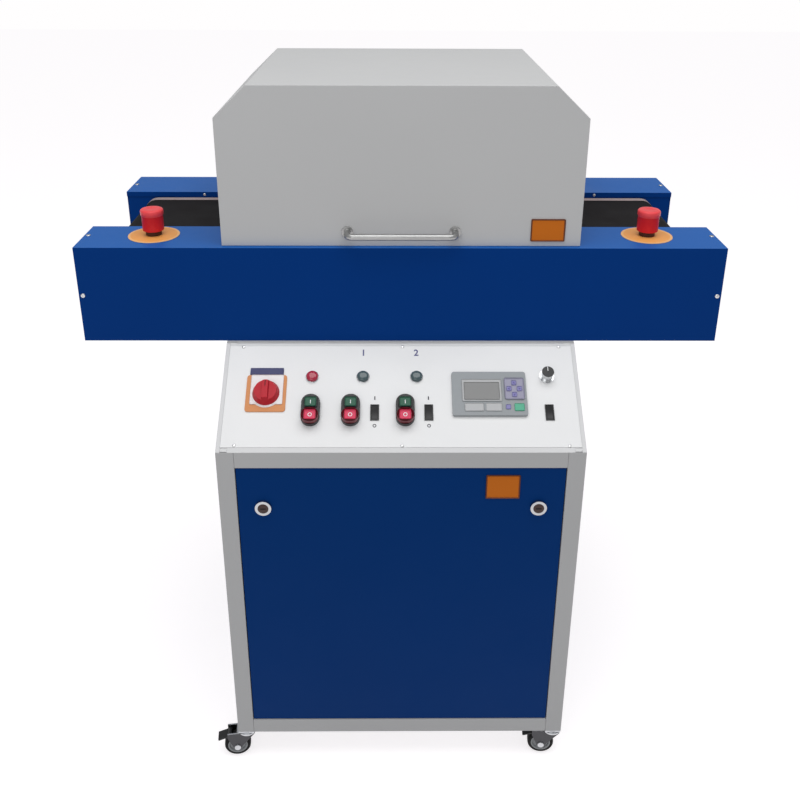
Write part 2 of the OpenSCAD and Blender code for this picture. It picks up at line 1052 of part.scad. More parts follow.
// Red cap, standing higher than its housing
module stop_button(i) {
    color("crimson")
        on_panel(button_x[i], button_t)
            translate([0, -cap_pitch / 2, button_floor + button_travel + seat])
                round_plate(cap_w, cap_l, stop_cap_h - button_floor - button_travel - seat, cap_round);
}

module rocker_frame() {
    body_w = rocker_w - rocker_rim;
    body_l = rocker_l - rocker_rim;
    color("black") {
        difference() {
            union() {
                block(rocker_w, rocker_l, rocker_rim_h);
                translate([0, 0, -rocker_body_l])
                    block(body_w, body_l, rocker_body_l + rocker_rim_h);
            }
            translate([0, 0, -rocker_pocket])
                block(body_w - rocker_rim, body_l - rocker_rim, rocker_pocket + rocker_rim_h + over);
        }
        translate([-body_w / 2 + over / 2, 0, -rocker_pivot])
            bar_x(rocker_pin_r, body_w - over);
    }
}

// Rocker on its pivot pin, tilted to its off position
module rocker(i) {
    body_w = rocker_w - 2 * rocker_rim - 2 * rocker_play;
    half_l = rocker_l / 2 - 2 * rocker_rim + rocker_play;
    color("black")
        on_panel(rocker_x[i], rocker_t)
            translate([0, 0, -rocker_pivot])
                rotate([rocker_tilt, 0, 0])
                    translate([-body_w / 2, 0, 0])
                        rotate([90, 0, 90])
                            linear_extrude(height = body_w)
                                difference() {
                                    polygon([[-half_l, rocker_top + rocker_pivot],
                                        [0, rocker_dip + rocker_pivot],
                                        [half_l, rocker_top + rocker_pivot],
                                        [half_l, rocker_pivot - rocker_low],
                                        [0, rocker_pivot - rocker_belly],
                                        [-half_l, rocker_pivot - rocker_low]]);
                                    circle(r = rocker_pin_r + running);
                                }
}

module signal_lamp(lens) {
    color("dimgray")
        cylinder(r = signal_r, h = signal_h);
    color("dimgray")
        translate([0, 0, -signal_body_l])
            cylinder(r = signal_body_r, h = signal_body_l + over);
    color(lens)
        cylinder(r = lens_r, h = signal_h + lens_h);
}

module dial_collar() {
    color("silver") {
        cylinder(r = collar_r, h = collar_h);
        cylinder(r = dial_shaft_r, h = dial_shaft_l);
        translate([0, 0, -panel_t - over])
            cylinder(r = dial_hole_r - hole_play, h = panel_t + 2 * over);
        translate([0, 0, -panel_t - dial_body_l])
            cylinder(r = dial_body_r, h = dial_body_l);
    }
}

// Turned knob with a wider skirt and a pointer line
module speed_dial() {
    color("black")
        on_panel(dial_x, dial_t)
            translate([0, 0, collar_h + seat])
                difference() {
                    union() {
                        cylinder(r = dial_r, h = dial_skirt_h);
                        cylinder(r = dial_r - pointer_w, h = dial_h);
                    }
                    translate([0, 0, -over])
                        cylinder(r = dial_shaft_r + running, h = dial_shaft_l);
                    translate([-pointer_w / 2, 0, dial_h - pointer_w / 2])
                        cube([pointer_w, dial_r, pointer_w]);
                }
}

// Text display with its screen, soft keys and arrow keys
module display_unit() {
    on_panel(display_x, display_t) {
        color("lightgray")
            difference() {
                round_plate(display_w, display_l, display_h, display_round);
                translate([lcd_x, lcd_t, display_h - lcd_deep])
                    block(lcd_w, lcd_l, lcd_deep + over);
            }
        color("lightgray")
            translate([0, 0, -panel_t - display_body_d])
                block(display_body_w, display_body_l, panel_t + display_body_d + display_lip);
        color("mediumpurple")
            for (place = [[-1, 0], [1, 0], [0, 1], [0, -1]])
                translate([key_x + place[0] * key_step, key_t + place[1] * key_pitch, display_h])
                    block(key_side, key_side, key_rise);
        color("whitesmoke")
            for (x = soft_key_x)
                translate([x, soft_key_t, display_h])
                    block(soft_key_w, soft_key_l, key_rise);
        color("seagreen")
            translate([key_x + key_pitch / 2, soft_key_t, display_h])
                block(key_side, key_side, key_rise);
    }
}

// Door

// Blue door tray with its stiffening ribs and two locating pins
module door_panel() {
    color("navy")
        difference() {
            union() {
                difference() {
                    translate([-door_w / 2, door_y, door_z])
                        cube([door_w, door_fold, door_h]);
                    translate([-door_w / 2 + sheet, door_y + sheet, door_z + sheet])
                        cube([door_w - 2 * sheet, door_fold, door_h - 2 * sheet]);
                }
                for (side = [-1, 1]) {
                    translate([side * rib_x, door_y + sheet + rib_d / 2, door_z + rib_end])
                        block(rib_w, rib_d, door_h - 2 * rib_end);
                    translate([side * lug_x, door_y + sheet / 2, z_floor + pin_lift])
                        bar_y(pin_r, door_fold + lug_t + pin_end);
                }
            }
            for (side = [-1, 1])
                translate([side * lock_x, door_y - over, lock_z])
                    bar_y(lock_body_r + lock_play, sheet + 2 * over);
        }
}

// Quarter-turn lock: round head with a slot, body, and a tongue that hangs
// down when it is open
module door_lock(side) {
    tongue_y = y_front + post + tongue_gap;
    color("silver")
        translate([side * lock_x, 0, lock_z]) {
            difference() {
                translate([0, door_y - head_t, 0])
                    bar_y(lock_r, head_t - seat);
                translate([-slot_l / 2, door_y - head_t - over, -slot_h / 2])
                    cube([slot_l, slot_deep + over, slot_h]);
            }
            translate([0, door_y - over, 0])
                bar_y(lock_body_r, tongue_y - door_y + over + tongue_t);
            translate([-tongue_w / 2, tongue_y, -tongue_l])
                cube([tongue_w, tongue_t, tongue_l]);
        }
}

// Hood

// Outline of the hood across the belt, moved inwards by the inset
function hood_outline(inset) = let (
        half = hood_x - inset,
        shoulder = z_hood_side + inset * (bevel_rise - bevel_len) / hood_cut,
        top = z_hood_top - inset,
        top_half = hood_x - (bevel_rise - inset + inset * bevel_len / hood_cut) * hood_cut / bevel_rise
    ) [[-half, z_hood - over * sign(inset)], [-half, shoulder], [-top_half, top],
        [top_half, top], [half, shoulder], [half, z_hood - over * sign(inset)]];

module hood_prism(inset) {
    translate([0, hood_y1 - inset, 0])
        rotate([90, 0, 0])
            linear_extrude(height = hood_y1 - hood_y0 - 2 * inset)
                polygon(hood_outline(inset));
}

// Folded hood with bevelled upper edges, open below, with belt openings
module hood_shell() {
    color("silver") {
        difference() {
            hood_prism(0);
            hood_prism(sheet);
            translate([-hood_x - over, gap_y0 + tunnel_set, z_hood - over])
                cube([2 * hood_x + 2 * over, belt_gap - 2 * tunnel_set, tunnel_h + over]);
            translate([0, hood_y1 - sheet - over, fan_z])
                bar_y(fan_hole_r, sheet + 2 * over);
        }
        for (y = [hood_y0 + sheet / 2, hood_y1 - sheet / 2 - hood_fold])
            translate([-hood_x + sheet / 2, y, z_hood])
                cube([2 * hood_x - sheet, hood_fold, sheet]);
    }
}

// Bow handle with two legs on round feet
module hood_handle() {
    leg_x = handle_w / 2;
    reach = handle_out - handle_bend;
    color("lightgray")
        translate([0, hood_y0, z_rail + handle_z]) {
            for (side = [-1, 1]) {
                translate([side * leg_x, -handle_foot_t, 0])
                    bar_y(handle_foot_r, handle_foot_t);
                translate([side * leg_x, -reach, 0])
                    bar_y(handle_r, reach - over);
                translate([side * (leg_x - handle_bend), -reach, 0])
                    rotate([0, 0, side > 0 ? -90 : 180])
                        rotate_extrude(angle = 90)
                            translate([handle_bend, 0])
                                circle(r = handle_r);
            }
            translate([-leg_x + handle_bend, -handle_out, 0])
                bar_x(handle_r, 2 * leg_x - 2 * handle_bend);
        }
}

// Carrier plate with two trough reflectors and their lamp holders
module lamp_reflectors() {
    color("gainsboro") {
        translate([-hood_x + sheet + seat, hood_y0 + carrier_front, carrier_z])
            cube([2 * (hood_x - sheet - seat), hood_y1 - hood_y0 - carrier_front - carrier_back, carrier_t]);
        for (side = [-1, 1])
            translate([side * lamp_x, belt_y + reflector_l / 2, carrier_z]) {
                rotate([90, 0, 0])
                    linear_extrude(height = reflector_l)
                        difference() {
                            polygon([[-reflector_top_w / 2, 0], [reflector_top_w / 2, 0],
                                [reflector_w / 2, -reflector_h], [-reflector_w / 2, -reflector_h]]);
                            polygon([[-reflector_top_w / 2 + reflector_t, -reflector_t],
                                [reflector_top_w / 2 - reflector_t, -reflector_t],
                                [reflector_w / 2 - reflector_t, -reflector_h - over],
                                [-reflector_w / 2 + reflector_t, -reflector_h - over]]);
                        }
                for (y = [-holder_t - lamp_end_l / 2, -reflector_l + lamp_end_l / 2])
                    translate([0, y, 0])
                        difference() {
                            translate([-holder_w / 2, 0, -lamp_drop - holder_w / 2])
                                cube([holder_w, holder_t, lamp_drop + holder_w / 2 - over]);
                            translate([0, -over, -lamp_drop])
                                bar_y(lamp_end_r + holder_play, holder_t + 2 * over);
                        }
            }
    }
}

// Two quartz lamp tubes with ceramic ends held in the holders
module uv_lamps() {
    color("aliceblue")
        for (side = [-1, 1])
            translate([side * lamp_x, belt_y, carrier_z - lamp_drop]) {
                translate([0, -lamp_l / 2, 0])
                    bar_y(lamp_r, lamp_l);
                translate([0, -lamp_l / 2 - lamp_end_l, 0])
                    bar_y(lamp_end_r, lamp_l + 2 * lamp_end_l);
            }
}

// Fan frame behind the back wall, and the duct spigot outside it
module exhaust_fan_frame() {
    color("dimgray")
        translate([0, hood_y1 - sheet - fan_d, fan_z]) {
            difference() {
                rotate([-90, 0, 0])
                    round_plate(fan_side, fan_side, fan_d, fan_round);
                translate([0, -over, 0])
                    bar_y(fan_bore_r, fan_d + 2 * over);
            }
            translate([0, fan_d - fan_strut_y, 0])
                rotate([-90, 0, 0])
                    linear_extrude(height = fan_strut_t) {
                        circle(r = fan_hub_r);
                        for (turn = [45, 135])
                            rotate(turn)
                                square([2 * fan_bore_r + 2 * over, fan_strut_w], center = true);
                    }
            translate([0, fan_d - fan_strut_y - rotor_shaft_l, 0])
                bar_y(rotor_shaft_r, rotor_shaft_l + over);
        }
    color("silver")
        translate([0, hood_y1, fan_z])
            difference() {
                union() {
                    bar_y(spigot_flange_r, spigot_flange_t);
                    bar_y(spigot_r, spigot_l);
                }
                translate([0, -over, 0])
                    bar_y(spigot_r - spigot_wall, spigot_l + 2 * over);
            }
}

// Bladed rotor on the fan's fixed shaft
module exhaust_fan_rotor() {
    rotor_back = hood_y1 - sheet - fan_strut_y - fan_gap;
    color("black")
        translate([0, rotor_back - rotor_hub_l, fan_z])
            difference() {
                union() {
                    bar_y(rotor_hub_r, rotor_hub_l);
                    for (i = [0:blade_count - 1])
                        rotate([0, i * 360 / blade_count, 0])
                            translate([0, rotor_hub_l / 2, 0])
                                rotate([0, 0, blade_pitch])
                                    translate([-blade_t / 2, -blade_w / 2, rotor_hub_r - over])
                                        cube([blade_t, blade_w, rotor_r - rotor_hub_r]);
                }
                translate([0, rotor_hub_l - rotor_shaft_l + fan_gap - over, 0])
                    bar_y(rotor_shaft_r + running, rotor_shaft_l + 2 * over);
            }
}

// Hinges

// Lower leaves on the rear rail, with two knuckles and the pin each
module hinge_leaves_lower() {
    knuckle = (hinge_w - hinge_mid) / 2 - seat;
    color("gray")
        for (side = [-1, 1])
            translate([side * hinge_x, 0, 0]) {
                translate([-hinge_w / 2, y_back, hinge_z - hinge_step - hinge_leaf])
                    cube([hinge_w, hinge_t, hinge_leaf]);
                for (x = [-hinge_w / 2, hinge_w / 2 - knuckle]) {
                    translate([x, y_back, hinge_z - hinge_step - over])
                        cube([knuckle, hinge_t, hinge_step + over]);
                    translate([x, hinge_y, hinge_z])
                        bar_x(hinge_r, knuckle);
                }
                translate([-hinge_w / 2, hinge_y, hinge_z])
                    bar_x(hinge_pin_r, hinge_w);
            }
}

// Upper leaves on the hood's back, with one knuckle each round the pin
module hinge_leaves_upper() {
    mid = hinge_mid - 2 * seat;
    color("gray")
        for (side = [-1, 1])
            translate([side * hinge_x, 0, 0])
                difference() {
                    union() {
                        translate([-hinge_w / 2, hood_y1, hinge_z + hinge_step])
                            cube([hinge_w, hinge_t, hinge_leaf]);
                        translate([-mid / 2, hood_y1, hinge_z])
                            cube([mid, hinge_t, hinge_step + over]);
                        translate([-mid / 2, hinge_y, hinge_z])
                            bar_x(hinge_r, mid);
                    }
                    translate([-mid / 2 - over, hinge_y, hinge_z])
                        bar_x(hinge_pin_r + running, mid + 2 * over);
                }
}

// Inside the cabinet

// Two lamp ballasts on the floor plate: laminated core, coil and feet
module ballasts() {
    color("dimgray")
        for (side = [-1, 1])
            translate([side * ballast_x, ballast_y, z_floor + floor_t]) {
                block(ballast_foot_w, ballast_d, ballast_foot_t);
                block(ballast_w, ballast_d, ballast_h);
                translate([0, 0, (ballast_h - coil_h) / 2])
                    block(coil_w, coil_d, coil_h);
            }
}

// Upright plate for the electrical gear, on four standoffs
module mounting_plate() {
    color("lightgray") {
        translate([-mount_w / 2, mount_y - mount_t, mount_z])
            cube([mount_w, mount_t, mount_h]);
        for (sx = [-1, 1], sz = [-1, 1])
            translate([sx * stand_x, mount_y - over, mount_z + mount_h / 2 + sz * stand_z])
                bar_y(stand_r, stand_l + over);
        for (z = [contactor_z, terminal_z])
            translate([-rail_bar_w / 2, mount_y - mount_t - rail_bar_t, z - rail_bar_h / 2])
                cube([rail_bar_w, rail_bar_t + over, rail_bar_h]);
    }
}

// Contactors, motor drive and terminal strip on the mounting plate's bars
module switchgear() {
    face = mount_y - mount_t - rail_bar_t;
    color("gainsboro") {
        for (x = contactor_x)
            translate([x, face - contactor_d / 2, contactor_z - contactor_h / 2])
                block(contactor_w, contactor_d, contactor_h);
        translate([drive_x, face - drive_d / 2, drive_z - drive_h / 2])
            block(drive_w, drive_d, drive_h);
        translate([0, face - terminal_d / 2, terminal_z - terminal_h / 2])
            block(terminal_w, terminal_d, terminal_h);
    }
}

// Gland with an open bore for a cable through the rear panel
module cable_gland() {
    rear_face = y_back - rear_set;
    color("dimgray")
        translate([gland_x, rear_face, gland_z])
            difference() {
                union() {
                    rotate([-90, 0, 0])
                        cylinder(r = gland_nut_r, h = gland_nut_l, $fn = 6);
                    bar_y(gland_r, gland_nut_l + gland_dome_l);
                    translate([0, -sheet - gland_back, 0])
                        bar_y(gland_thread_r, sheet + gland_back + over);
                }
                translate([0, -sheet - gland_back - over, 0])
                    bar_y(gland_bore_r, sheet + gland_back + gland_nut_l + gland_dome_l + 2 * over);
            }
}

// Casters

// Places children at caster i, with +X from its swivel axis to its wheel
module at_caster(i) {
    y = caster_back[i] > 0 ? y_back - post / 2 : y_front + post / 2;
    translate([caster_side[i] * post_x, y, 0])
        rotate([0, 0, caster_turn[i]])
            children();
}

// Stem plugs in the posts, with flanges and kingpins
module caster_stems() {
    plug = post - 2 * tube_wall - 2 * plug_play;
    color("gray")
        for (i = [0:3])
            translate([caster_side[i] * post_x,
                    caster_back[i] > 0 ? y_back - post / 2 : y_front + post / 2, 0]) {
                translate([0, 0, caster_h - stem_flange_t])
                    block(post, post, stem_flange_t);
                translate([0, 0, caster_h - over])
                    block(plug, plug, stem_plug_h + over);
                translate([0, 0, crown_z - seat - kingpin_head_t])
                    cylinder(r = kingpin_r, h = caster_h - crown_z + kingpin_head_t);
                translate([0, 0, crown_z - seat - kingpin_head_t])
                    cylinder(r = kingpin_head_r, h = kingpin_head_t);
            }
}

// Fork with a round crown, two legs, the axle and, in front, the brake's pin
module caster_fork(i) {
    leg_y = wheel_w / 2 + leg_gap;
    race_top = caster_h - stem_flange_t - seat;
    color("darkgray")
        at_caster(i)
            difference() {
                union() {
                    translate([0, 0, crown_z])
                        cylinder(r = crown_disc_r, h = crown_t);
                    translate([0, 0, crown_z])
                        cylinder(r = race_r, h = race_top - crown_z);
                    translate([-leg_root, -leg_y - leg_t, crown_z])
                        cube([leg_root + trail, 2 * leg_y + 2 * leg_t, crown_t]);
                    for (side = [-1, 1])
                        translate([0, side * (leg_y + leg_t / 2) + leg_t / 2, 0])
                            rotate([90, 0, 0])
                                linear_extrude(height = leg_t) {
                                    polygon([[-leg_root, crown_z + crown_t], [leg_back, crown_z + crown_t],
                                        [leg_back, crown_z - leg_foot_r],
                                        [trail + leg_foot_r, wheel_r], [trail - leg_foot_r, wheel_r],
                                        [-leg_root, crown_z]]);
                                    translate([trail, wheel_r])
                                        circle(r = leg_foot_r);
                                }
                    translate([trail, -leg_y - leg_t - axle_head_t, wheel_r]) {
                        bar_y(axle_r, 2 * (leg_y + leg_t + axle_head_t));
                        bar_y(axle_head_r, axle_head_t);
                        translate([0, 2 * (leg_y + leg_t) + axle_head_t, 0])
                            bar_y(axle_head_r, axle_head_t);
                    }
                    if (caster_back[i] == 0)
                        translate([brake_x, -leg_y - leg_t, brake_z])
                            bar_y(brake_pin_r, 2 * (leg_y + leg_t));
                }
                translate([0, 0, crown_z - over])
                    cylinder(r = kingpin_r + running, h = caster_h);
            }
}

// Wheel with a rounded tread and a hub that runs on the axle
module caster_wheel(i) {
    hub_l = wheel_w + 2 * leg_gap - 2 * hub_gap;
    color("black")
        at_caster(i)
            translate([trail, 0, wheel_r])
                rotate([90, 0, 0])
                    rotate_extrude()
                        polygon([[axle_r + running, -hub_l / 2], [hub_r, -hub_l / 2],
                            [hub_r, -wheel_w / 2], [wheel_r - tread_round, -wheel_w / 2],
                            [wheel_r, -wheel_w / 2 + tread_round], [wheel_r, wheel_w / 2 - tread_round],
                            [wheel_r - tread_round, wheel_w / 2], [hub_r, wheel_w / 2],
                            [hub_r, hub_l / 2], [axle_r + running, hub_l / 2]]);
}

// Brake pedal on its pin at the trailing end of a front caster
module caster_brake(i) {
    pedal_w = wheel_w + 2 * leg_gap - 2 * brake_side_gap;
    color("black")
        at_caster(i)
            translate([brake_x, pedal_w / 2, brake_z])
                rotate([90, 0, 0])
                    linear_extrude(height = pedal_w)
                        difference() {
                            union() {
                                circle(r = brake_eye_r);
                                rotate([0, 0, -brake_slope])
                                    translate([0, -brake_t / 2])
                                        square([brake_l, brake_t]);
                            }
                            circle(r = brake_pin_r + running);
                        }
}

frame_posts();
frame_rails();
base_plate();
side_panels();
rear_panels();
console_surround();
console_panel();
top_deck();
caster_stems();
rail_cover_front();
rail_cover_rear();
conveyor_side_plates();
slider_bed();
belt();
roller_bearings();
gearmotor();
estop_bases();
isolator_base();
panel_bezels();
display_unit();
hinge_leaves_lower();
ballasts();
mounting_plate();
switchgear();
cable_gland();
door_panel();
door_lock(-1);  // door_lock_left
door_lock(1);  // door_lock_right
hood_shell();
hood_handle();
lamp_reflectors();
uv_lamps();
exhaust_fan_frame();
hinge_leaves_upper();
exhaust_fan_rotor();
drive_roller();
idler_roller();
isolator_handle();
start_button(0);  // start_button_1
start_button(1);  // start_button_2
start_button(2);  // start_button_3
stop_button(0);  // stop_button_1
stop_button(1);  // stop_button_2
stop_button(2);  // stop_button_3
rocker(0);  // rocker_1
rocker(1);  // rocker_2
rocker(2);  // rocker_3
speed_dial();
estop_head(-1);  // estop_head_left
estop_head(1);  // estop_head_right
caster_fork(0);  // caster_fork_front_left
caster_fork(1);  // caster_fork_front_right
caster_fork(2);  // caster_fork_rear_left
caster_fork(3);  // caster_fork_rear_right
caster_wheel(0);  // caster_wheel_front_left
caster_wheel(1);  // caster_wheel_front_right
caster_wheel(2);  // caster_wheel_rear_left
caster_wheel(3);  // caster_wheel_rear_right
caster_brake(0);  // caster_brake_front_left
caster_brake(1);  // caster_brake_front_right
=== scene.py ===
import math

import bpy
from mathutils import Matrix, Vector


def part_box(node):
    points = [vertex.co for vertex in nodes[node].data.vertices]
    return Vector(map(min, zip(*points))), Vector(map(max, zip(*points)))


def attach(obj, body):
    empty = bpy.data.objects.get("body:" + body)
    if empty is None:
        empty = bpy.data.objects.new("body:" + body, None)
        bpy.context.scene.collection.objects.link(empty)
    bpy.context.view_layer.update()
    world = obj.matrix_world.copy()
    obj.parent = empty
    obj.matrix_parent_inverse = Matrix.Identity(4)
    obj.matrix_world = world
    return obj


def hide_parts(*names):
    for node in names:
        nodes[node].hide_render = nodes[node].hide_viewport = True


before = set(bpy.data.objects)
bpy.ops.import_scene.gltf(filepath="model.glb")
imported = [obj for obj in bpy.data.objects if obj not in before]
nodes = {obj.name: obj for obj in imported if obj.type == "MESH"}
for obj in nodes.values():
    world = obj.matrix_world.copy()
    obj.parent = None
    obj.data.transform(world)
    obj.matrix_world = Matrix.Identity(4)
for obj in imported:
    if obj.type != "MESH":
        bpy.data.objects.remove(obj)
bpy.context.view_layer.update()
bpy.context.scene.view_settings.view_transform = "Standard"

# The camera stands a long step in front of the machine, a little above it, and looks down.
# Its picture is 800 pixels square, and its upright lines are kept by a small shift.
image_side = 800
sensor_width = 36.0
focal_pixels = 912.3
level_row = 290
pitch, yaw, roll = 0.3873, 0.0093, 0.0045
camera_place = Vector((-0.0155, -1.6279, 1.5080))
forward = Vector((math.sin(yaw) * math.cos(pitch), math.cos(yaw) * math.cos(pitch), -math.sin(pitch)))
level = Vector((math.cos(yaw), -math.sin(yaw), 0))
upright = level.cross(forward)
across = level * math.cos(roll) + upright * math.sin(roll)
upright = upright * math.cos(roll) - level * math.sin(roll)
camera = bpy.data.objects.new("camera", bpy.data.cameras.new("camera"))
bpy.context.scene.collection.objects.link(camera)
camera.data.sensor_width = sensor_width
camera.data.lens = focal_pixels * sensor_width / image_side
camera.data.shift_y = (level_row - image_side / 2) / image_side
turned_to = Matrix((across, upright, -forward)).transposed().to_4x4()
camera.matrix_world = Matrix.Translation(camera_place) @ turned_to
bpy.context.scene.camera = camera

# The room is a pale floor under a white surround, with one wide lamp overhead
# and a weaker one in front, so that colours show about as they are written.
floor_size, floor_glow, room_light, room_shown = 24.0, 0.68, 0.50, 1.0


def add(tree, kind, settings=None, links=None):
    """Adds a shader node. links maps an input's name or number to a value or to an output."""
    made = tree.nodes.new("ShaderNode" + kind)
    for key, value in (settings or {}).items():
        setattr(made, key, value)
    for key, value in (links or {}).items():
        if isinstance(value, bpy.types.NodeSocket):
            tree.links.new(value, made.inputs[key])
        else:
            made.inputs[key].default_value = value
    return made


def combine(tree, operation, *values, clamp=False):
    """Does one sum on numbers or outputs, and gives its result."""
    settings = {"operation": operation, "use_clamp": clamp}
    return add(tree, "Math", settings, dict(enumerate(values))).outputs[0]


bpy.ops.object.select_all(action="DESELECT")
bpy.ops.mesh.primitive_plane_add(size=floor_size)
floor = bpy.context.object
floor.name = "floor"
floor_look = bpy.data.materials.new("pale_floor")
floor_look.use_nodes = True
tree = floor_look.node_tree
tree.nodes.clear()
path = add(tree, "LightPath").outputs
mirrored = combine(tree, "MAXIMUM", path["Is Glossy Ray"], path["Is Transmission Ray"])
seen = combine(tree, "MAXIMUM", path["Is Camera Ray"], mirrored)
glow_share = combine(tree, "MULTIPLY", seen, floor_glow)
glow = add(tree, "Emission", None, {"Color": (1.0, 0.975, 0.985, 1), "Strength": glow_share})
matt = add(tree, "BsdfDiffuse", None, {"Color": (0.62, 0.61, 0.615, 1)})
both = add(tree, "AddShader", None, {0: matt.outputs[0], 1: glow.outputs[0]})
add(tree, "OutputMaterial", None, {"Surface": both.outputs[0]})
floor.data.materials.append(floor_look)

world = bpy.data.worlds.new("white_room")
bpy.context.scene.world = world
world.use_nodes = True
tree = world.node_tree
tree.nodes.clear()
path = add(tree, "LightPath").outputs
seen = combine(tree, "MAXIMUM", path["Is Camera Ray"], path["Is Transmission Ray"])
lit = add(tree, "Background", None, {"Color": (0.97, 0.985, 1.0, 1), "Strength": room_light})
shown = add(tree, "Background", None, {"Color": (1.0, 0.99, 0.992, 1), "Strength": room_shown})
pick = add(tree, "MixShader", None, {"Fac": seen, 1: lit.outputs[0], 2: shown.outputs[0]})
add(tree, "OutputWorld", None, {"Surface": pick.outputs[0]})


def soft_lamp(name, place, aim, width, height, watts):
    """A soft rectangular lamp at a place, turned to what it lights."""
    lamp = bpy.data.lights.new(name, "AREA")
    lamp.shape = "RECTANGLE"
    lamp.size, lamp.size_y, lamp.energy = width, height, watts
    holder = bpy.data.objects.new(name, lamp)
    bpy.context.scene.collection.objects.link(holder)
    holder.location = place
    holder.rotation_euler = (Vector(aim) - Vector(place)).to_track_quat("-Z", "Y").to_euler()


soft_lamp("overhead_lamp", (0.1, -0.6, 3.3), (0, 0, 0.9), 2.6, 1.8, 36)
soft_lamp("front_lamp", (-0.9, -3.4, 2.3), (0, 0, 0.6), 1.8, 1.6, 17)

# Frame: four square steel posts and the tubes between them, welded and powder coated light
# grey, with a deck of sheet on top. Every edge that the metal shows is taken off a little,
# as a folded or filed edge is.
mm = 0.001
merge_gap = 0.002 * mm
flat_angle, sharp_angle, smooth_angle = 0.4, 32, 35


def only(piece):
    """Deselects everything and makes this piece the active one."""
    bpy.ops.object.select_all(action="DESELECT")
    piece.select_set(True)
    bpy.context.view_layer.objects.active = piece


def modify(piece, kind, **settings):
    """Adds one modifier with these settings and applies it."""
    only(piece)
    modifier = piece.modifiers.new(kind.lower(), kind)
    for key, value in settings.items():
        setattr(modifier, key, value)
    bpy.ops.object.modifier_apply(modifier=modifier.name)
    return piece


def smooth(piece, angle=smooth_angle):
    """Shades a piece smooth, but for edges that are sharper than this angle."""
    only(piece)
    bpy.ops.object.shade_smooth_by_angle(angle=math.radians(angle))
    return piece


def edges_off(piece, radius, segments=2):
    """Rounds the sharp edges of a piece by this radius, in millimetres. Its faces stay flat."""
    modify(piece, "BEVEL", width=radius * mm, segments=segments, limit_method="ANGLE",
           angle_limit=math.radians(sharp_angle), miter_outer="MITER_ARC", use_clamp_overlap=True)
    smooth(piece)
    return modify(piece, "WEIGHTED_NORMAL", mode="FACE_AREA_WITH_ANGLE", keep_sharp=True)


def from_cad(node, radius, segments=2, joined=True):
    """Copies a solid, joins its triangles into flat faces and rounds its edges.
    A sheet with rows of slots keeps its triangles, because a face can't have holes."""
    source = nodes[node]
    piece = source.copy()
    piece.data = source.data.copy()
    piece.parent = None
    for key in list(piece.keys()):
        del piece[key]
    piece.name = node + "_finished"
    bpy.context.scene.collection.objects.link(piece)
    piece.data.materials.clear()
    only(piece)
    bpy.ops.object.mode_set(mode="EDIT")
    bpy.ops.mesh.select_all(action="SELECT")
    bpy.ops.mesh.remove_doubles(threshold=merge_gap)
    if joined:
        bpy.ops.mesh.dissolve_limited(angle_limit=math.radians(flat_angle))
    bpy.ops.object.mode_set(mode="OBJECT")
    edges_off(piece, radius, segments)
    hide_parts(node)
    return piece


def finish(piece, look, body):
    """Gives a piece its finish and lets it move with its body."""
    piece.data.materials.clear()
    piece.data.materials.append(look)
    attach(piece, body)
    return piece


def shader_group(name, inputs, outputs):
    """Starts a node group with named sockets."""
    made = bpy.data.node_groups.new(name, "ShaderNodeTree")
    for label, kind, value in inputs:
        made.interface.new_socket(label, in_out="INPUT", socket_type=kind).default_value = value
    for label, kind in outputs:
        made.interface.new_socket(label, in_out="OUTPUT", socket_type=kind)
    return made, made.nodes.new("NodeGroupInput").outputs, made.nodes.new("NodeGroupOutput").inputs


def give_out(group, outs, **results):
    """Joins results to the group's outputs of the same names."""
    for label, result in results.items():
        group.links.new(result, outs[label])


def noise(tree, at, scale, detail, roughness=0.5):
    """The grey value of a cloudy noise."""
    settings = {"Vector": at, "Scale": scale, "Detail": detail, "Roughness": roughness}
    return add(tree, "TexNoise", None, settings).outputs["Fac"]


def spread(tree, value, low, high, from_low=0.3, from_high=0.7):
    """Maps a noise's middle range to the range that is wanted."""
    return add(tree, "MapRange", None, {"Value": value, "From Min": from_low, "From Max": from_high,
                                        "To Min": low, "To Max": high}).outputs["Result"]


def drifted(tree, cloud, drift):
    """A tone about one that follows a noise, as far as the drift says."""
    half = combine(tree, "MULTIPLY", drift, 0.5)
    return spread(tree, cloud, combine(tree, "SUBTRACT", 1.0, half), combine(tree, "ADD", 1.0, half))


def blend(tree, share, under, over):
    """Mixes two colours. A Mix node's colour sockets go by number."""
    under_input, over_input, mixed_output = 6, 7, 2
    links = {"Factor": share, under_input: under, over_input: over}
    return add(tree, "Mix", {"data_type": "RGBA"}, links).outputs[mixed_output]


# Powder coat: a fine orange peel, a faint drift of tone, wiped streaks, and on faces that look up
# a little dust and a painted highlight, a lighter tone that stands for light from above.
COLOUR, NUMBER = "NodeSocketColor", "NodeSocketFloat"
EFFECTS = [("Colour", COLOUR), ("Roughness", NUMBER), ("Height", NUMBER)]
coat_dust, highlight_hue, middle_hue = (0.62, 0.60, 0.57, 1), -0.0115, 0.5
coat_group, ins, outs = shader_group(
    "powder_coat",
    [("Colour", COLOUR, (0.5, 0.5, 0.5, 1)), ("Roughness", NUMBER, 0.35), ("Peel", NUMBER, 0.5),
     ("Drift", NUMBER, 0.05), ("Dust", NUMBER, 0.04), ("Bleach", NUMBER, 0.0)], EFFECTS)
at = add(coat_group, "TexCoord").outputs["Object"]
peel = noise(coat_group, at, 620.0, 2.0)
pebble = noise(coat_group, at, 240.0, 1.0)
patch = noise(coat_group, at, 2.6, 3.0)
wiped = noise(coat_group, at, 9.0, 6.0, 0.7)
facing = add(coat_group, "SeparateXYZ", None, {0: add(coat_group, "NewGeometry").outputs["Normal"]})
upward = combine(coat_group, "MAXIMUM", facing.outputs["Z"], 0.0)
# Faces that look up are made lighter by this share: a painted highlight for light from above.
painted_highlight = combine(coat_group, "MULTIPLY", upward, ins["Bleach"])
brighter = combine(coat_group, "ADD", drifted(coat_group, patch, ins["Drift"]), painted_highlight)
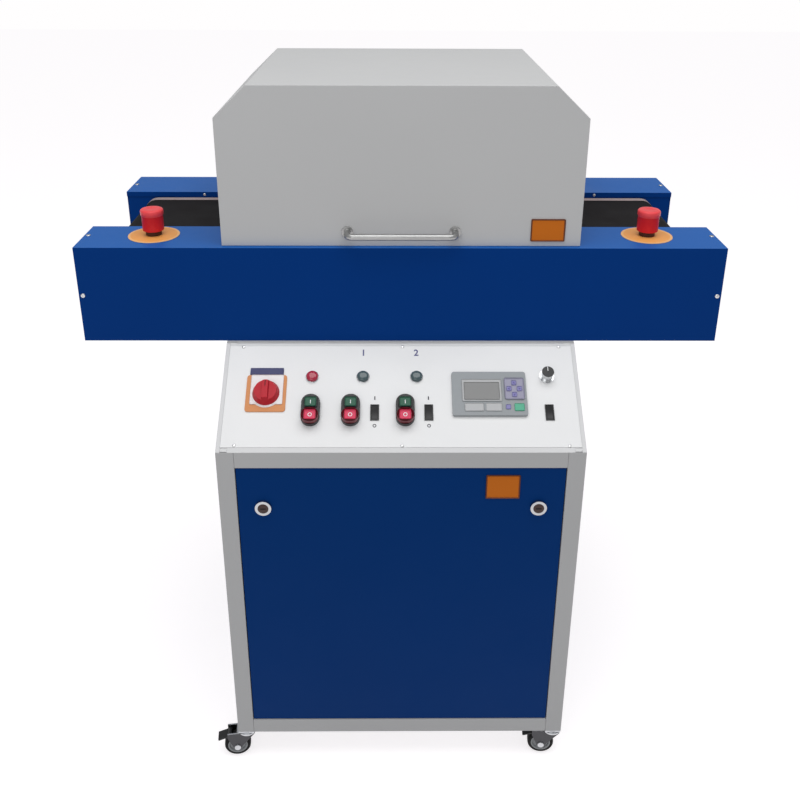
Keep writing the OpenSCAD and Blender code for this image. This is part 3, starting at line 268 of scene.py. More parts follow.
hue_turn = combine(coat_group, "MULTIPLY_ADD", painted_highlight, highlight_hue, middle_hue)
toned = add(coat_group, "HueSaturation", None, {"Color": ins["Colour"], "Value": brighter, "Hue": hue_turn})
settled = combine(coat_group, "MULTIPLY", upward, spread(coat_group, wiped, 0.0, 1.0, 0.42, 0.66))
dusty = combine(coat_group, "MULTIPLY", settled, ins["Dust"])
streak = spread(coat_group, wiped, -0.05, 0.07)
bumpy = combine(coat_group, "ADD", peel, pebble)
give_out(coat_group, outs, Colour=blend(coat_group, dusty, toned.outputs[0], coat_dust),
         Roughness=combine(coat_group, "ADD", ins["Roughness"], streak, clamp=True),
         Height=combine(coat_group, "MULTIPLY", bumpy, ins["Peel"]))


def surface(name, group, values, bump, settings):
    """A material with one effect group in front of its shader.
    bump is how strong the relief is, and its depth in millimetres."""
    look = bpy.data.materials.new(name)
    look.use_nodes = True
    tree = look.node_tree
    shader = tree.nodes["Principled BSDF"]
    effect = tree.nodes.new("ShaderNodeGroup")
    effect.node_tree = group
    for key, value in values.items():
        effect.inputs[key].default_value = value
    rise = add(tree, "Bump", None, {"Height": effect.outputs["Height"], "Strength": bump[0],
                                    "Distance": bump[1] * mm})
    tree.links.new(rise.outputs["Normal"], shader.inputs["Normal"])
    tree.links.new(effect.outputs["Colour"], shader.inputs["Base Color"])
    tree.links.new(effect.outputs["Roughness"], shader.inputs["Roughness"])
    for key, value in settings.items():
        shader.inputs[key].default_value = value
    return look


def coated(name, colour, roughness, peel=0.5, drift=0.05, dust=0.04, gloss=0.5, top_highlight=0.0,
           tint=(1, 1, 1)):
    """Powder coat, paint or print in this colour."""
    return surface(name, coat_group,
                   {"Colour": (*colour, 1), "Roughness": roughness, "Peel": peel, "Drift": drift,
                    "Dust": dust, "Bleach": top_highlight},
                   (0.35, 0.12), {"Specular IOR Level": gloss, "Specular Tint": (*tint, 1)})


frame_paint = coated("frame_paint", (0.505, 0.505, 0.507), 0.5, drift=0.04, gloss=0.25)
finish(from_cad("frame_posts", 1.4, 3), frame_paint, "cabinet")
finish(from_cad("frame_rails", 1.0, 3), frame_paint, "cabinet")
finish(from_cad("top_deck", 0.6), frame_paint, "cabinet")

# Floor plate and the plugs with the swivel discs: zinc plated steel with a faint rolled grain.
# The plate lies on the lowest tubes, and each plug is pressed into the foot of a post.
grain_group, ins, outs = shader_group(
    "metal_grain",
    [("Colour", COLOUR, (0.6, 0.6, 0.6, 1)), ("Roughness", NUMBER, 0.35), ("Grain", NUMBER, 0.5),
     ("Stretch", "NodeSocketVector", (1.0, 1.0, 1.0))], EFFECTS)
at = add(grain_group, "TexCoord").outputs["Object"]
drawn = add(grain_group, "Mapping", None, {"Vector": at, "Scale": ins["Stretch"]}).outputs[0]
line = noise(grain_group, drawn, 900.0, 3.0, 0.6)
cloud = noise(grain_group, at, 22.0, 4.0, 0.6)
both_tones = combine(grain_group, "MULTIPLY", spread(grain_group, cloud, 0.90, 1.08),
                     spread(grain_group, line, 0.94, 1.05))
tinted = add(grain_group, "HueSaturation", None, {"Color": ins["Colour"], "Value": both_tones})
worn = spread(grain_group, cloud, -0.05, 0.08)
give_out(grain_group, outs, Colour=tinted.outputs[0],
         Roughness=combine(grain_group, "ADD", ins["Roughness"], worn, clamp=True),
         Height=combine(grain_group, "MULTIPLY", line, ins["Grain"]))


def metal(name, colour, roughness, grain, stretch=(1, 1, 1)):
    """Bare or plated metal. A stretch below one draws the grain out along that axis."""
    return surface(name, grain_group,
                   {"Colour": (*colour, 1), "Roughness": roughness, "Grain": grain, "Stretch": stretch},
                   (0.3, 0.04), {"Metallic": 1.0})


zinc = metal("zinc_plate", (0.62, 0.63, 0.65), 0.36, 0.5, (0.15, 1, 1))
finish(from_cad("base_plate", 0.4), zinc, "cabinet")
finish(from_cad("caster_stems", 0.3), zinc, "cabinet")

# Side and rear panels: blue powder coated sheet with rows of punched louvre slots.
# They stand between the posts, and screws along their edges hold the side ones.
blue_gloss = (0.12, 0.38, 1.0)
panel_paint = coated("panel_blue_paint", (0.0010, 0.0315, 0.158), 0.45, peel=0.6, drift=0.06,
                     dust=0.02, gloss=0.14, tint=blue_gloss)
# The rails' tops get a painted highlight, lighter than their fronts, for light from above.
rail_paint = coated("rail_blue_paint", (0.0010, 0.034, 0.195), 0.42, peel=0.6, drift=0.06,
                    dust=0.02, gloss=0.22, top_highlight=1.15, tint=blue_gloss)
finish(from_cad("side_panels", 0.4, joined=False), panel_paint, "cabinet")
finish(from_cad("rear_panels", 0.4, joined=False), panel_paint, "cabinet")

# Screws: turned pan heads of zinc plated steel with a stamped cross recess. One is made here
# and copied to every place that has one, first along the edges of the side panels.
screw_r, screw_h = 4.0, 2.2
recess_size = (4.4, 0.9, 2.4)
recess_angle = 40


def turned(name, profile, sides=48, ring=False):
    """Turns a profile of (radius, height) steps about Z, in millimetres, from below upwards.
    A ring's profile ends where it starts, so its walls close on themselves."""
    start_r, start_h = profile[0]
    bpy.ops.object.select_all(action="DESELECT")
    bpy.ops.mesh.primitive_circle_add(vertices=sides, radius=start_r * mm, location=(0, 0, start_h * mm),
                                      fill_type="NOTHING" if ring else "NGON")
    piece = bpy.context.object
    piece.name = name
    bpy.ops.object.transform_apply(location=True)
    bpy.ops.object.mode_set(mode="EDIT")
    bpy.ops.mesh.select_all(action="SELECT")
    radius, height = start_r, start_h
    for next_r, next_h in profile[1:]:
        bpy.ops.mesh.extrude_region_move(TRANSFORM_OT_translate={"value": (0, 0, (next_h - height) * mm)})
        share = next_r / radius
        bpy.ops.transform.resize(value=(share, share, 1), center_override=(0, 0, next_h * mm))
        radius, height = next_r, next_h
    bpy.ops.mesh.select_all(action="SELECT")
    if ring:
        bpy.ops.mesh.remove_doubles(threshold=merge_gap)
    bpy.ops.mesh.normals_make_consistent(inside=False)
    bpy.ops.object.mode_set(mode="OBJECT")
    return smooth(piece)


def block(size, place, turn=0.0):
    """A plain block, in millimetres, to cut or to shape further."""
    bpy.ops.object.select_all(action="DESELECT")
    bpy.ops.mesh.primitive_cube_add(size=1, location=[value * mm for value in place])
    piece = bpy.context.object
    piece.scale = [value * mm for value in size]
    piece.rotation_euler = (0, 0, turn)
    bpy.ops.object.transform_apply(location=True, rotation=True, scale=True)
    return piece


def cut(piece, cutter):
    """Takes the cutter's shape out of a piece."""
    modify(piece, "BOOLEAN", object=cutter, operation="DIFFERENCE", solver="EXACT")
    bpy.data.objects.remove(cutter)


def set_at(piece, place):
    """Puts a piece at a place and leaves that place in its mesh."""
    piece.data.transform(place)
    return piece


def axis_to(direction, spot):
    """The place of a spot, with its Z axis along direction."""
    turn = Vector(direction).to_track_quat("Z", "Y").to_matrix().to_4x4()
    return Matrix.Translation(Vector(spot)) @ turn


def copies(pattern, places, name):
    """Copies a pattern to each place and joins the copies into one piece."""
    made = []
    for place in places:
        twin = bpy.data.objects.new(name, pattern.data.copy())
        bpy.context.scene.collection.objects.link(twin)
        made.append(set_at(twin, place))
    only(made[0])
    for twin in made:
        twin.select_set(True)
    bpy.ops.object.join()
    joined = bpy.context.object
    joined.name = name
    return joined


screw = turned("screw_pattern", [(screw_r, 0), (screw_r, 0.9), (3.7, 1.5), (2.9, 2.0), (1.6, screw_h)], 20)
for turn in (0, math.pi / 2):
    cut(screw, block(recess_size, (0, 0, screw_h), turn))
smooth(screw, recess_angle)
screw_zinc = metal("screw_zinc", (0.70, 0.70, 0.70), 0.28, 0.3)
side_low, side_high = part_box("side_panels")
screw_in = 0.012
places = []
for side in (-1, 1):
    for y in (side_low.y + screw_in, (side_low.y + side_high.y) / 2, side_high.y - screw_in):
        for z in (side_low.z + screw_in, side_high.z - screw_in):
            places.append(axis_to((side, 0, 0), (side * side_high.x, y, z)))
finish(copies(screw, places, "side_panel_screws"), screw_zinc, "cabinet")

# Door: a blue tray of folded sheet that hangs on two pins at the bottom, held by two locks on top.
# Each lock is a chromed quarter-turn head with a brown core, and a thin black plate across it is painted
# shade that stands for its slot.
finish(from_cad("door_panel", 0.7), panel_paint, "door")
chrome = metal("chrome_plate", (0.50, 0.505, 0.515), 0.2, 0.15)
core_brown = coated("lock_core_brown", (0.045, 0.018, 0.014), 0.4, peel=0.3, drift=0.06,
                    dust=0.02, gloss=0.4)
slot_painted_shade = coated("lock_slot_black", (0.008, 0.008, 0.008), 0.5, peel=0.3, drift=0.04,
                    dust=0.02, gloss=0.2)
door_low, door_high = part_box("door_panel")
lock_x, lock_z = door_high.x - 0.043, door_high.z - 0.077
core_r, slot_proud = 9.3, 0.0004
front_face = Matrix(((1, 0, 0, 0), (0, 0, -1, 0), (0, 1, 0, 0), (0, 0, 0, 1)))


def plate(name, size, radius):
    """A plate of this width, height and thickness on Z = 0, its corners rounded, in millimetres."""
    piece = block(size, (0, 0, size[2] / 2))
    piece.name = name
    bpy.ops.object.mode_set(mode="EDIT")
    bpy.ops.mesh.select_all(action="DESELECT")
    bpy.ops.object.mode_set(mode="OBJECT")
    for edge in piece.data.edges:
        a, b = (piece.data.vertices[i].co for i in edge.vertices)
        edge.select = abs(a.x - b.x) < merge_gap and abs(a.y - b.y) < merge_gap
    bpy.ops.object.mode_set(mode="EDIT")
    bpy.ops.mesh.bevel(offset=radius * mm, segments=4)
    bpy.ops.object.mode_set(mode="OBJECT")
    return piece


def fix_plate(name, size, radius, edge, place, look, body, segments=2):
    """Makes a plate, takes its edges off, and fixes it at its place."""
    piece = edges_off(plate(name, size, radius), edge, segments)
    finish(set_at(piece, place), look, body)


for side, x in (("left", -lock_x), ("right", lock_x)):
    lock = "door_lock_" + side
    lock_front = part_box(lock)[0].y
    finish(from_cad(lock, 0.35), chrome, lock)
    core = turned("lock_core_" + side, [(core_r, -0.6), (core_r, 0.25), (8.9, 0.45), (2, 0.5)], 40)
    finish(set_at(core, axis_to((0, -1, 0), (x, lock_front, lock_z))), core_brown, lock)
    spot = Matrix.Translation((x, lock_front - slot_proud, lock_z)) @ front_face
    # The black plate across the core is painted shade for the slot's recess.
    fix_plate("lock_slot_" + side, (9.5, 1.7, 0.3), 0.5, 0.06, spot, slot_painted_shade, lock)

# Blank plates: orange foil with a thin dark border, glued flat on the door and on the hood.
# The border is a slightly larger plate under the orange one.
foil = coated("orange_foil", (0.60, 0.155, 0.010), 0.5, peel=0.2, drift=0.06, dust=0.0, gloss=0.15)
foil_edge = coated("foil_border", (0.16, 0.045, 0.012), 0.5, peel=0.2, drift=0.04, dust=0.0)
hood_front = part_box("hood_shell")[0]
border_w = 2
for name, body, x, y, z, width, height in (
        ("door_plate", "door", 0.17225, door_low.y, door_high.z - 0.0365, 58, 46),
        ("hood_plate", "hood", 0.2515, hood_front.y, hood_front.z + 0.029, 59, 40)):
    spot = Matrix.Translation((x, y, z)) @ front_face
    fix_plate(name + "_border", (width, height, 0.35), 2.0, 0.08, spot, foil_edge, body)
    inside = (width - 2 * border_w, height - 2 * border_w, 0.5)
    fix_plate(name, inside, 1.2, 0.08, spot, foil, body)

# Casters: each wheel is a grey plastic hub with a black rubber tyre, in a pressed zinc fork.
# Below its crown, the fork is painted dark except on the legs' outer faces: painted shade between fork and
# wheel.
# The two front ones carry a black brake pedal on a pin above the wheel.
mould_dust = (0.40, 0.38, 0.36, 1)
mould_group, ins, outs = shader_group(
    "moulded_grain",
    [("Colour", COLOUR, (0.5, 0.5, 0.5, 1)), ("Roughness", NUMBER, 0.4), ("Grain", NUMBER, 0.5),
     ("Drift", NUMBER, 0.04), ("Dust", NUMBER, 0.03)], EFFECTS)
at = add(mould_group, "TexCoord").outputs["Object"]
spark = noise(mould_group, at, 1500.0, 1.0)
smudge = noise(mould_group, at, 45.0, 4.0, 0.6)
tone = drifted(mould_group, smudge, ins["Drift"])
toned = add(mould_group, "HueSaturation", None, {"Color": ins["Colour"], "Value": tone})
grime = spread(mould_group, smudge, 0.0, 1.0, 0.5, 0.72)
grimy = combine(mould_group, "MULTIPLY", grime, ins["Dust"])
matter = spread(mould_group, smudge, -0.04, 0.08)
give_out(mould_group, outs, Colour=blend(mould_group, grimy, toned.outputs[0], mould_dust),
         Roughness=combine(mould_group, "ADD", ins["Roughness"], matter, clamp=True),
         Height=combine(mould_group, "MULTIPLY", spark, ins["Grain"]))


def moulded(name, colour, roughness, grain=0.5, drift=0.04, dust=0.03, gloss=0.4):
    """Moulded plastic or rubber, with a fine soft grain."""
    return surface(name, mould_group,
                   {"Colour": (*colour, 1), "Roughness": roughness, "Grain": grain, "Drift": drift,
                    "Dust": dust},
                   (0.3, 0.05), {"Specular IOR Level": gloss})


def repaint(piece, look, chosen):
    """Gives the faces whose centre is chosen another finish."""
    piece.data.materials.append(look)
    for face in piece.data.polygons:
        if chosen(face.center):
            face.material_index = len(piece.data.materials) - 1


grey_plastic = moulded("grey_plastic", (0.33, 0.34, 0.35), 0.42)
black_plastic = moulded("black_plastic", (0.014, 0.014, 0.015), 0.38)
rubber = moulded("tyre_rubber", (0.008, 0.008, 0.008), 0.62, grain=0.8, drift=0.10, dust=0.12, gloss=0.15)
wheel_r, wheel_half, tyre_in, tyre_round = 25.0, 9.0, 18.6, 1.6
hub_half, axle_r = 10.0, 4.0
crown_z, leg_outside, post_half = 0.0555, 0.01305, 0.015
dark_steel = metal("dark_steel", (0.085, 0.085, 0.09), 0.42, 0.6)
post_low, post_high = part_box("frame_posts")
swivel_x = post_high.x - post_half
swivel_front, swivel_back = post_low.y + post_half, post_high.y - post_half
corners = ("front_left", "front_right", "rear_left", "rear_right")
for corner in corners:
    low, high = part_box("caster_wheel_" + corner)
    middle = (low + high) / 2
    swivel_y = swivel_front if middle.y < 0 else swivel_back
    trail = Vector((middle.x - math.copysign(swivel_x, middle.x), middle.y - swivel_y, 0))
    axle = trail.normalized().cross(Vector((0, 0, 1)))
    spot = axis_to(axle, middle)
    tyre = turned("tyre_" + corner, [
        (tyre_in, -wheel_half + 0.4), (tyre_in + 0.8, -wheel_half), (wheel_r - 3.4, -wheel_half),
        (wheel_r - tyre_round, -wheel_half + 0.9), (wheel_r - 0.4, -wheel_half + 2.6), (wheel_r, -3.5),
        (wheel_r, 3.5), (wheel_r - 0.4, wheel_half - 2.6), (wheel_r - tyre_round, wheel_half - 0.9),
        (wheel_r - 3.4, wheel_half), (tyre_in + 0.8, wheel_half), (tyre_in, wheel_half - 0.4),
        (tyre_in, -wheel_half + 0.4)], 56, ring=True)
    finish(set_at(tyre, spot), rubber, "caster_wheel_" + corner)
    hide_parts("caster_wheel_" + corner)
    hub = turned("hub_" + corner, [
        (axle_r, -hub_half), (8.4, -hub_half), (9.0, -hub_half + 0.6), (9.6, -5.0), (15.2, -4.6),
        (16.4, -wheel_half + 0.7), (tyre_in + 0.05, -wheel_half + 0.5), (tyre_in + 0.05, wheel_half - 0.5),
        (16.4, wheel_half - 0.7), (15.2, 4.6), (9.6, 5.0), (9.0, hub_half - 0.6), (8.4, hub_half),
        (axle_r, hub_half), (axle_r, -hub_half)], ring=True)
    finish(set_at(hub, spot), grey_plastic, "caster_wheel_" + corner)
    fork = from_cad("caster_fork_" + corner, 0.5)
    # Dark all over, then zinc again on the crown and on the legs' outer faces: the dark rest is painted
    # shade.
    finish(fork, dark_steel, "caster_fork_" + corner)
    repaint(fork, zinc, lambda spot: spot.z > crown_z)
    repaint(fork, zinc, lambda spot: abs((spot - middle).dot(axle)) > leg_outside)
for corner in corners[:2]:
    pedal = from_cad("caster_brake_" + corner, 1.0, 3)
    finish(pedal, black_plastic, "caster_brake_" + corner)

# Console: a sloping grey border that carries a satin white panel, held by six small screws.
# A place on it is x across the machine, t up the slope from its front edge, n out of the panel.
slope_run, slope_rise, panel_proud = 168.0, 123.0, 0.5
slope = math.atan2(slope_rise, slope_run)
console_edge = Vector((0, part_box("frame_posts")[0].y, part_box("top_deck")[1].z - slope_rise * mm))
up_slope = Vector((0, math.cos(slope), math.sin(slope)))
out_of_it = Vector((0, -math.sin(slope), math.cos(slope)))
console_turn = Matrix((Vector((1, 0, 0)), up_slope, out_of_it)).transposed().to_4x4()
small_screw = 0.72


def console_at(x, t, n=0.0):
    """A place on the console panel's face, in millimetres, with Z out of it."""
    spot = console_edge + Vector((x * mm, 0, 0)) + up_slope * t * mm + out_of_it * (n + panel_proud) * mm
    return Matrix.Translation(spot) @ console_turn


def on_console(point):
    """The x and t of a point, in millimetres."""
    return point.x / mm, (point - console_edge).dot(up_slope) / mm


def above_console(point):
    """How far a point stands out of the console's border, in metres."""
    return (point - console_edge).dot(out_of_it)


def centre(node):
    """The middle of a solid."""
    low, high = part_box(node)
    return (low + high) / 2


panel_white = coated("panel_white_paint", (0.83, 0.83, 0.832), 0.34, peel=0.25, drift=0.025,
                     dust=0.02, gloss=0.35)
border_paint = coated("border_pale_paint", (0.69, 0.69, 0.695), 0.45, peel=0.4, drift=0.03,
                      dust=0.03, gloss=0.3)
finish(from_cad("console_surround", 0.6), border_paint, "cabinet")
finish(from_cad("console_panel", 0.3), panel_white, "cabinet")
small = Matrix.Diagonal((small_screw, small_screw, small_screw, 1))
places = [console_at(x, t) @ small for x, t in ((-278.5, 12.5), (1.5, 12), (281, 11.5),
                                                (-278, 198), (3, 198.5), (280, 198.5))]
finish(copies(screw, places, "console_screws"), screw_zinc, "cabinet")

# Main isolator: a moulded yellow plate with a white one on it, a dark blue band above them
# and a red handle on the switch's shaft. The switch's body hangs behind the panel.
orange_plate = moulded("isolator_yellow", (0.66, 0.26, 0.085), 0.40)
white_plastic = moulded("white_plastic", (0.84, 0.82, 0.82), 0.38)
red_plastic = moulded("red_plastic", (0.50, 0.008, 0.022), 0.42, gloss=0.25)
dark_blue = moulded("dark_blue_plastic", (0.035, 0.04, 0.135), 0.42)
wine_plastic = moulded("wine_plastic", (0.155, 0.012, 0.02), 0.40)
isolator_x, isolator_t = on_console(centre("isolator_handle"))
yellow_h, white_t, band_t, pointer_up, pointer_n = 2.2, 114, 149.2, 10, 21.2
base = from_cad("isolator_base", 0.45, 3)
finish(base, orange_plate, "cabinet")
plate_top = (panel_proud + yellow_h) * mm
repaint(base, white_plastic, lambda spot: above_console(spot) > plate_top)
repaint(base, black_plastic, lambda spot: above_console(spot) < 0)
fix_plate("isolator_white_plate", (56, 55.5, 0.8), 2.0, 0.2, console_at(isolator_x + 1, white_t, 2),
          white_plastic, "cabinet")
fix_plate("isolator_band", (58, 13.5, 2.6), 1.5, 0.4, console_at(isolator_x - 1, band_t),
          dark_blue, "cabinet")
knob = finish(from_cad("isolator_handle", 0.9, 3), red_plastic, "isolator_handle")
knob_taper, taper_from = 0.016, 3.0
knob_foot = console_at(isolator_x, isolator_t).translation
for vertex in knob.data.vertices:
    rise = (vertex.co - knob_foot).dot(out_of_it)
    flat = vertex.co - knob_foot - out_of_it * rise
    vertex.co = knob_foot + out_of_it * rise + flat * (1 - knob_taper * max(rise / mm - taper_from, 0))
fix_plate("isolator_pointer", (1.6, 10, 0.25), 0.7, 0.06,
          console_at(isolator_x, isolator_t + pointer_up, pointer_n), wine_plastic, "isolator_handle")

# Panel bezels: black push-button housings, rocker frames, pale lamp rings and the dial's collar.
# They clamp through the panel and are told apart by their widths.
green_plastic = moulded("green_plastic", (0.028, 0.118, 0.072), 0.42, gloss=0.3)
red_painted_highlight = moulded("stop_cap_plastic", (0.70, 0.055, 0.125), 0.42, gloss=0.3)
chrome_ring = metal("chrome_ring", (0.66, 0.67, 0.68), 0.14, 0.2)
housing_w, rocker_w, lamp_ring_w, collar_w = 32.0, 15.0, 23.0, 26.0
signal_t, red_lamp_below, ring_r, lens_r = 139.0, -100.0, 11.5, 10.1
tag_from = 300


def loose_parts(piece):
    """Splits a piece into its separate bodies."""
    only(piece)
    bpy.ops.object.mode_set(mode="EDIT")
    bpy.ops.mesh.select_all(action="SELECT")
    bpy.ops.mesh.separate(type="LOOSE")
    bpy.ops.object.mode_set(mode="OBJECT")
    return sorted(bpy.context.selected_objects, key=lambda part: part.name)


def reach(part, axis):
    """The middle and the width of a piece along one axis."""
    along = [vertex.co[axis] for vertex in part.data.vertices]
    return (min(along) + max(along)) / 2, max(along) - min(along)


def place_tag(x):
    """Three digits that tell a piece by its place across the machine, in millimetres."""
    return str(round(x + tag_from)).zfill(3)


def lens(name, colour, roughness=0.1):
    """A dark coloured lens or pane under a clear coat."""
    return surface(name, mould_group, {"Colour": (*colour, 1), "Roughness": roughness, "Grain": 0.1,
                                       "Drift": 0.02, "Dust": 0.0},
                   (0.1, 0.02), {"Coat Weight": 0.35, "Coat Roughness": 0.05})


lamp_red = lens("lamp_red", (0.40, 0.008, 0.040))
lamp_green = lens("lamp_green", (0.050, 0.085, 0.095))
for part in loose_parts(from_cad("panel_bezels", 0.8, 3)):
    middle_x, wide = (value / mm for value in reach(part, 0))
    kind = min((housing_w, rocker_w, lamp_ring_w, collar_w), key=lambda w: abs(w - wide))
    tag = place_tag(middle_x)
    if kind == lamp_ring_w:
        bpy.data.objects.remove(part)
        spot = console_at(middle_x, signal_t)
        ring = turned("lamp_ring_" + tag, [
            (8.0, -30), (8.0, -0.2), (ring_r, 0), (ring_r, 1.6), (11.2, 2.2), (10.7, 2.4), (10.4, 2.2),
            (10.2, 1.6)])
        finish(set_at(ring, spot), chrome_ring, "cabinet")
        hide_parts("panel_bezels")
        dome = turned("lamp_lens_" + tag, [
            (lens_r, 1.4), (lens_r, 4.2), (9.7, 5.6), (8.7, 6.7), (6.8, 7.6), (4.0, 8.1), (1.0, 8.2)])
        left_one = middle_x < red_lamp_below
        finish(set_at(dome, spot), lamp_red if left_one else lamp_green, "cabinet")
        continue
    name = {housing_w: "button_housing_", rocker_w: "rocker_frame_", collar_w: "dial_collar_"}[kind]
    part.name = name + tag
    look, slot = (chrome_ring, "chrome") if kind == collar_w else (black_plastic, "black_plastic")
    finish(part, look, "cabinet")

# Push-buttons: a moulded green start cap over a red stop cap in each housing, with a printed bar
# and ring. The stop cap's red is painted in two tones, a pink top as painted highlight and wine sides
# as painted shade. The stop cap sits in a dark red liner.
mark_white = moulded("mark_white", (0.86, 0.86, 0.86), 0.5)
mark_h, mark_over, mark_round = 0.25, 0.2, 0.3


def bar_mark(name, width, height, spot, look, body):
    """An upright bar, for on."""
    fix_plate(name, (width, height, mark_h), min(width, height) * mark_round, 0.06, spot, look, body)


def ring_mark(name, radius, line_w, spot, look, body):
    """A ring, for off."""
    inner = radius - line_w
    piece = turned(name, [(inner, 0), (radius, 0), (radius, mark_h), (inner, mark_h), (inner, 0)], 28,
                   ring=True)
    finish(set_at(piece, spot), look, body)


face_w, face_l, face_h, face_sunk = 19.8, 17.0, 0.3, 0.05
liner_w, liner_l, liner_h, liner_below = 29.0, 24.5, 0.35, 1.7
liner_opening = (23.6, 20.6, 4)
housing_top = 8.95
cap_kinds = (("start", 11.0, black_plastic, "black_plastic", green_plastic, "green_plastic"),
             ("stop", 14.0, wine_plastic, "red_plastic", red_painted_highlight, "red_plastic"))
for i in (1, 2, 3):
    for kind, cap_h, cap_look, cap_slot, face_look, face_slot in cap_kinds:
        cap = f"{kind}_button_{i}"
        # A stop cap's wine sides and pink face are painted shade and painted highlight on one red plastic;
        # a start cap is black with a green face.
        finish(from_cad(cap, 0.8, 3), cap_look, cap)
        x, t = on_console(centre(cap))
        fix_plate(cap + "_face", (face_w, face_l, face_h), 2.5, 0.1, console_at(x, t, cap_h - face_sunk),
                  face_look, cap)
        spot = console_at(x, t, cap_h + mark_over)
        if kind == "start":
            bar_mark(cap + "_mark", 1.3, 7, spot, mark_white, cap)
        else:
            ring_mark(cap + "_mark", 3.6, 1.2, spot, mark_white, cap)
    liner = plate(f"stop_liner_{i}", (liner_w, liner_l, liner_h), 11.0)
    cut(liner, block(liner_opening, (0, liner_below, 0)))
    finish(set_at(liner, console_at(x, t - liner_below, housing_top)), wine_plastic, "cabinet")

# Rocker switches: three black moulded caps that tilt in their frames. Two of them have a bar
# above and a ring below, printed on the panel.
legend_ink = moulded("legend_ink", (0.04, 0.04, 0.055), 0.6)
rocker_t, on_above, off_below = 72.0, 27, 24
for i in (1, 2, 3):
    cap = f"rocker_{i}"
    finish(from_cad(cap, 0.4, 3), black_plastic, cap)
    x, t = on_console(centre(cap))
    if i < 3:
        bar_mark(cap + "_on_mark", 1.8, 6.5, console_at(x, rocker_t + on_above), legend_ink, "cabinet")
        ring_mark(cap + "_off_mark", 3.1, 1.3, console_at(x, rocker_t - off_below), legend_ink, "cabinet")

# Numbers of the two lamp circuits: thin dark blue ink, printed on the panel above the
# green lamps.
number_ink = moulded("number_ink", (0.10, 0.10, 0.24), 0.6)
number_size, number_bold, number_half, number_t, number_n = 17, 0.35, 0.08, 186, 0.1
for text, x in (("1", -66.0), ("2", 27.0)):
    bpy.ops.object.select_all(action="DESELECT")
    bpy.ops.object.text_add()
    number = bpy.context.object
    number.data.body = text
    number.data.size = number_size * mm
    number.data.offset = number_bold * mm
    number.data.extrude = number_half * mm
    number.data.align_x, number.data.align_y = "CENTER", "CENTER"
    bpy.ops.object.convert(target="MESH")
    number = bpy.context.object
    number.name = "number_" + text
    finish(set_at(number, console_at(x, number_t, number_n)), number_ink, "cabinet")

# Speed dial: a black moulded knob with a white pointer line, on a shaft that comes out of
# its chromed collar.
dial = finish(from_cad("speed_dial", 0.9, 3), black_plastic, "speed_dial")
dial_x, dial_t = on_console(centre("speed_dial"))
skirt_h, line_up, line_n = 17.5, 5.2, 19.2
dial_cap = (panel_proud + skirt_h) * mm
repaint(dial, chrome_ring, lambda spot: above_console(spot) < dial_cap)
bar_mark("dial_pointer", 1.2, 7.5, console_at(dial_x, dial_t + line_up, line_n), mark_white, "speed_dial")

# Text display: a grey moulded case with a pale face, a liquid crystal pane and soft keys
# under a membrane. It is clamped in a cut-out of the panel.
display_case = moulded("display_case", (0.30, 0.32, 0.335), 0.45)
key_pale = moulded("key_pale", (0.48, 0.485, 0.49), 0.5)
membrane_blue = moulded("display_membrane", (0.33, 0.32, 0.42), 0.5)
key_violet = moulded("key_violet", (0.25, 0.235, 0.47), 0.5)
key_green = moulded("key_green", (0.10, 0.44, 0.28), 0.5)
glyph_dark = moulded("glyph_dark", (0.10, 0.085, 0.30), 0.5)
pane_look = lens("display_pane", (0.135, 0.136, 0.135), 0.15)
finish(from_cad("display_unit", 0.8, 3), display_case, "cabinet")
display_x, display_t = on_console(centre("display_unit"))
display_h, key_over = 6.0, 0.35
key_top = display_h + 0.6


def on_display(name, x, t, n, size, radius, edge, look):
    """Fixes a plate on the display's case, x and t from the middle of the case."""
    fix_plate(name, size, radius, edge, console_at(display_x + x, display_t + t, n), look, "cabinet")


on_display("display_face", -13, 6, display_h, (68, 41, 0.3), 2.0, 0.08, key_pale)
on_display("display_membrane", 43, 9, display_h, (34, 40, 0.3), 3.0, 0.08, membrane_blue)
on_display("display_pane", -13, 5, display_h + 0.1, (61, 33, 0.5), 1.0, 0.12, pane_look)
key_gap, glyph_r, glyph_h = 0.6, 2.4, 0.2
for name, x, t, width, height, look, turn in (
        ("soft_key_1", -27, -25.5, 33, 15, key_pale, None),
        ("soft_key_2", 6.5, -25.5, 28, 15, key_pale, None),
        ("enter_key", 50, -25.5, 17.5, 14, key_green, None),
        ("menu_key", 31, -25, 9, 9, key_violet, None),
        ("arrow_up", 43, 20, 9, 9, key_violet, 0), ("arrow_down", 43, -2, 9, 9, key_violet, 180),
        ("arrow_left", 34, 9, 9, 9, key_violet, 90), ("arrow_right", 52, 9, 9, 9, key_violet, -90)):
    base_n = display_h if turn is None else key_top
    size = (width - key_gap, height - key_gap, key_over + key_top - base_n)
    on_display(name, x, t, base_n, size, 1.6, 0.18, look)
    if turn is not None:
        bpy.ops.object.select_all(action="DESELECT")
        bpy.ops.mesh.primitive_cylinder_add(vertices=3, radius=glyph_r * mm, depth=glyph_h * mm)
        glyph = bpy.context.object
        glyph.name = name + "_glyph"
        turn_it = Matrix.Rotation(math.radians(turn), 4, "Z")
        spot = console_at(display_x + x, display_t + t, key_top + key_over) @ turn_it
        finish(set_at(glyph, spot), glyph_dark, "cabinet")

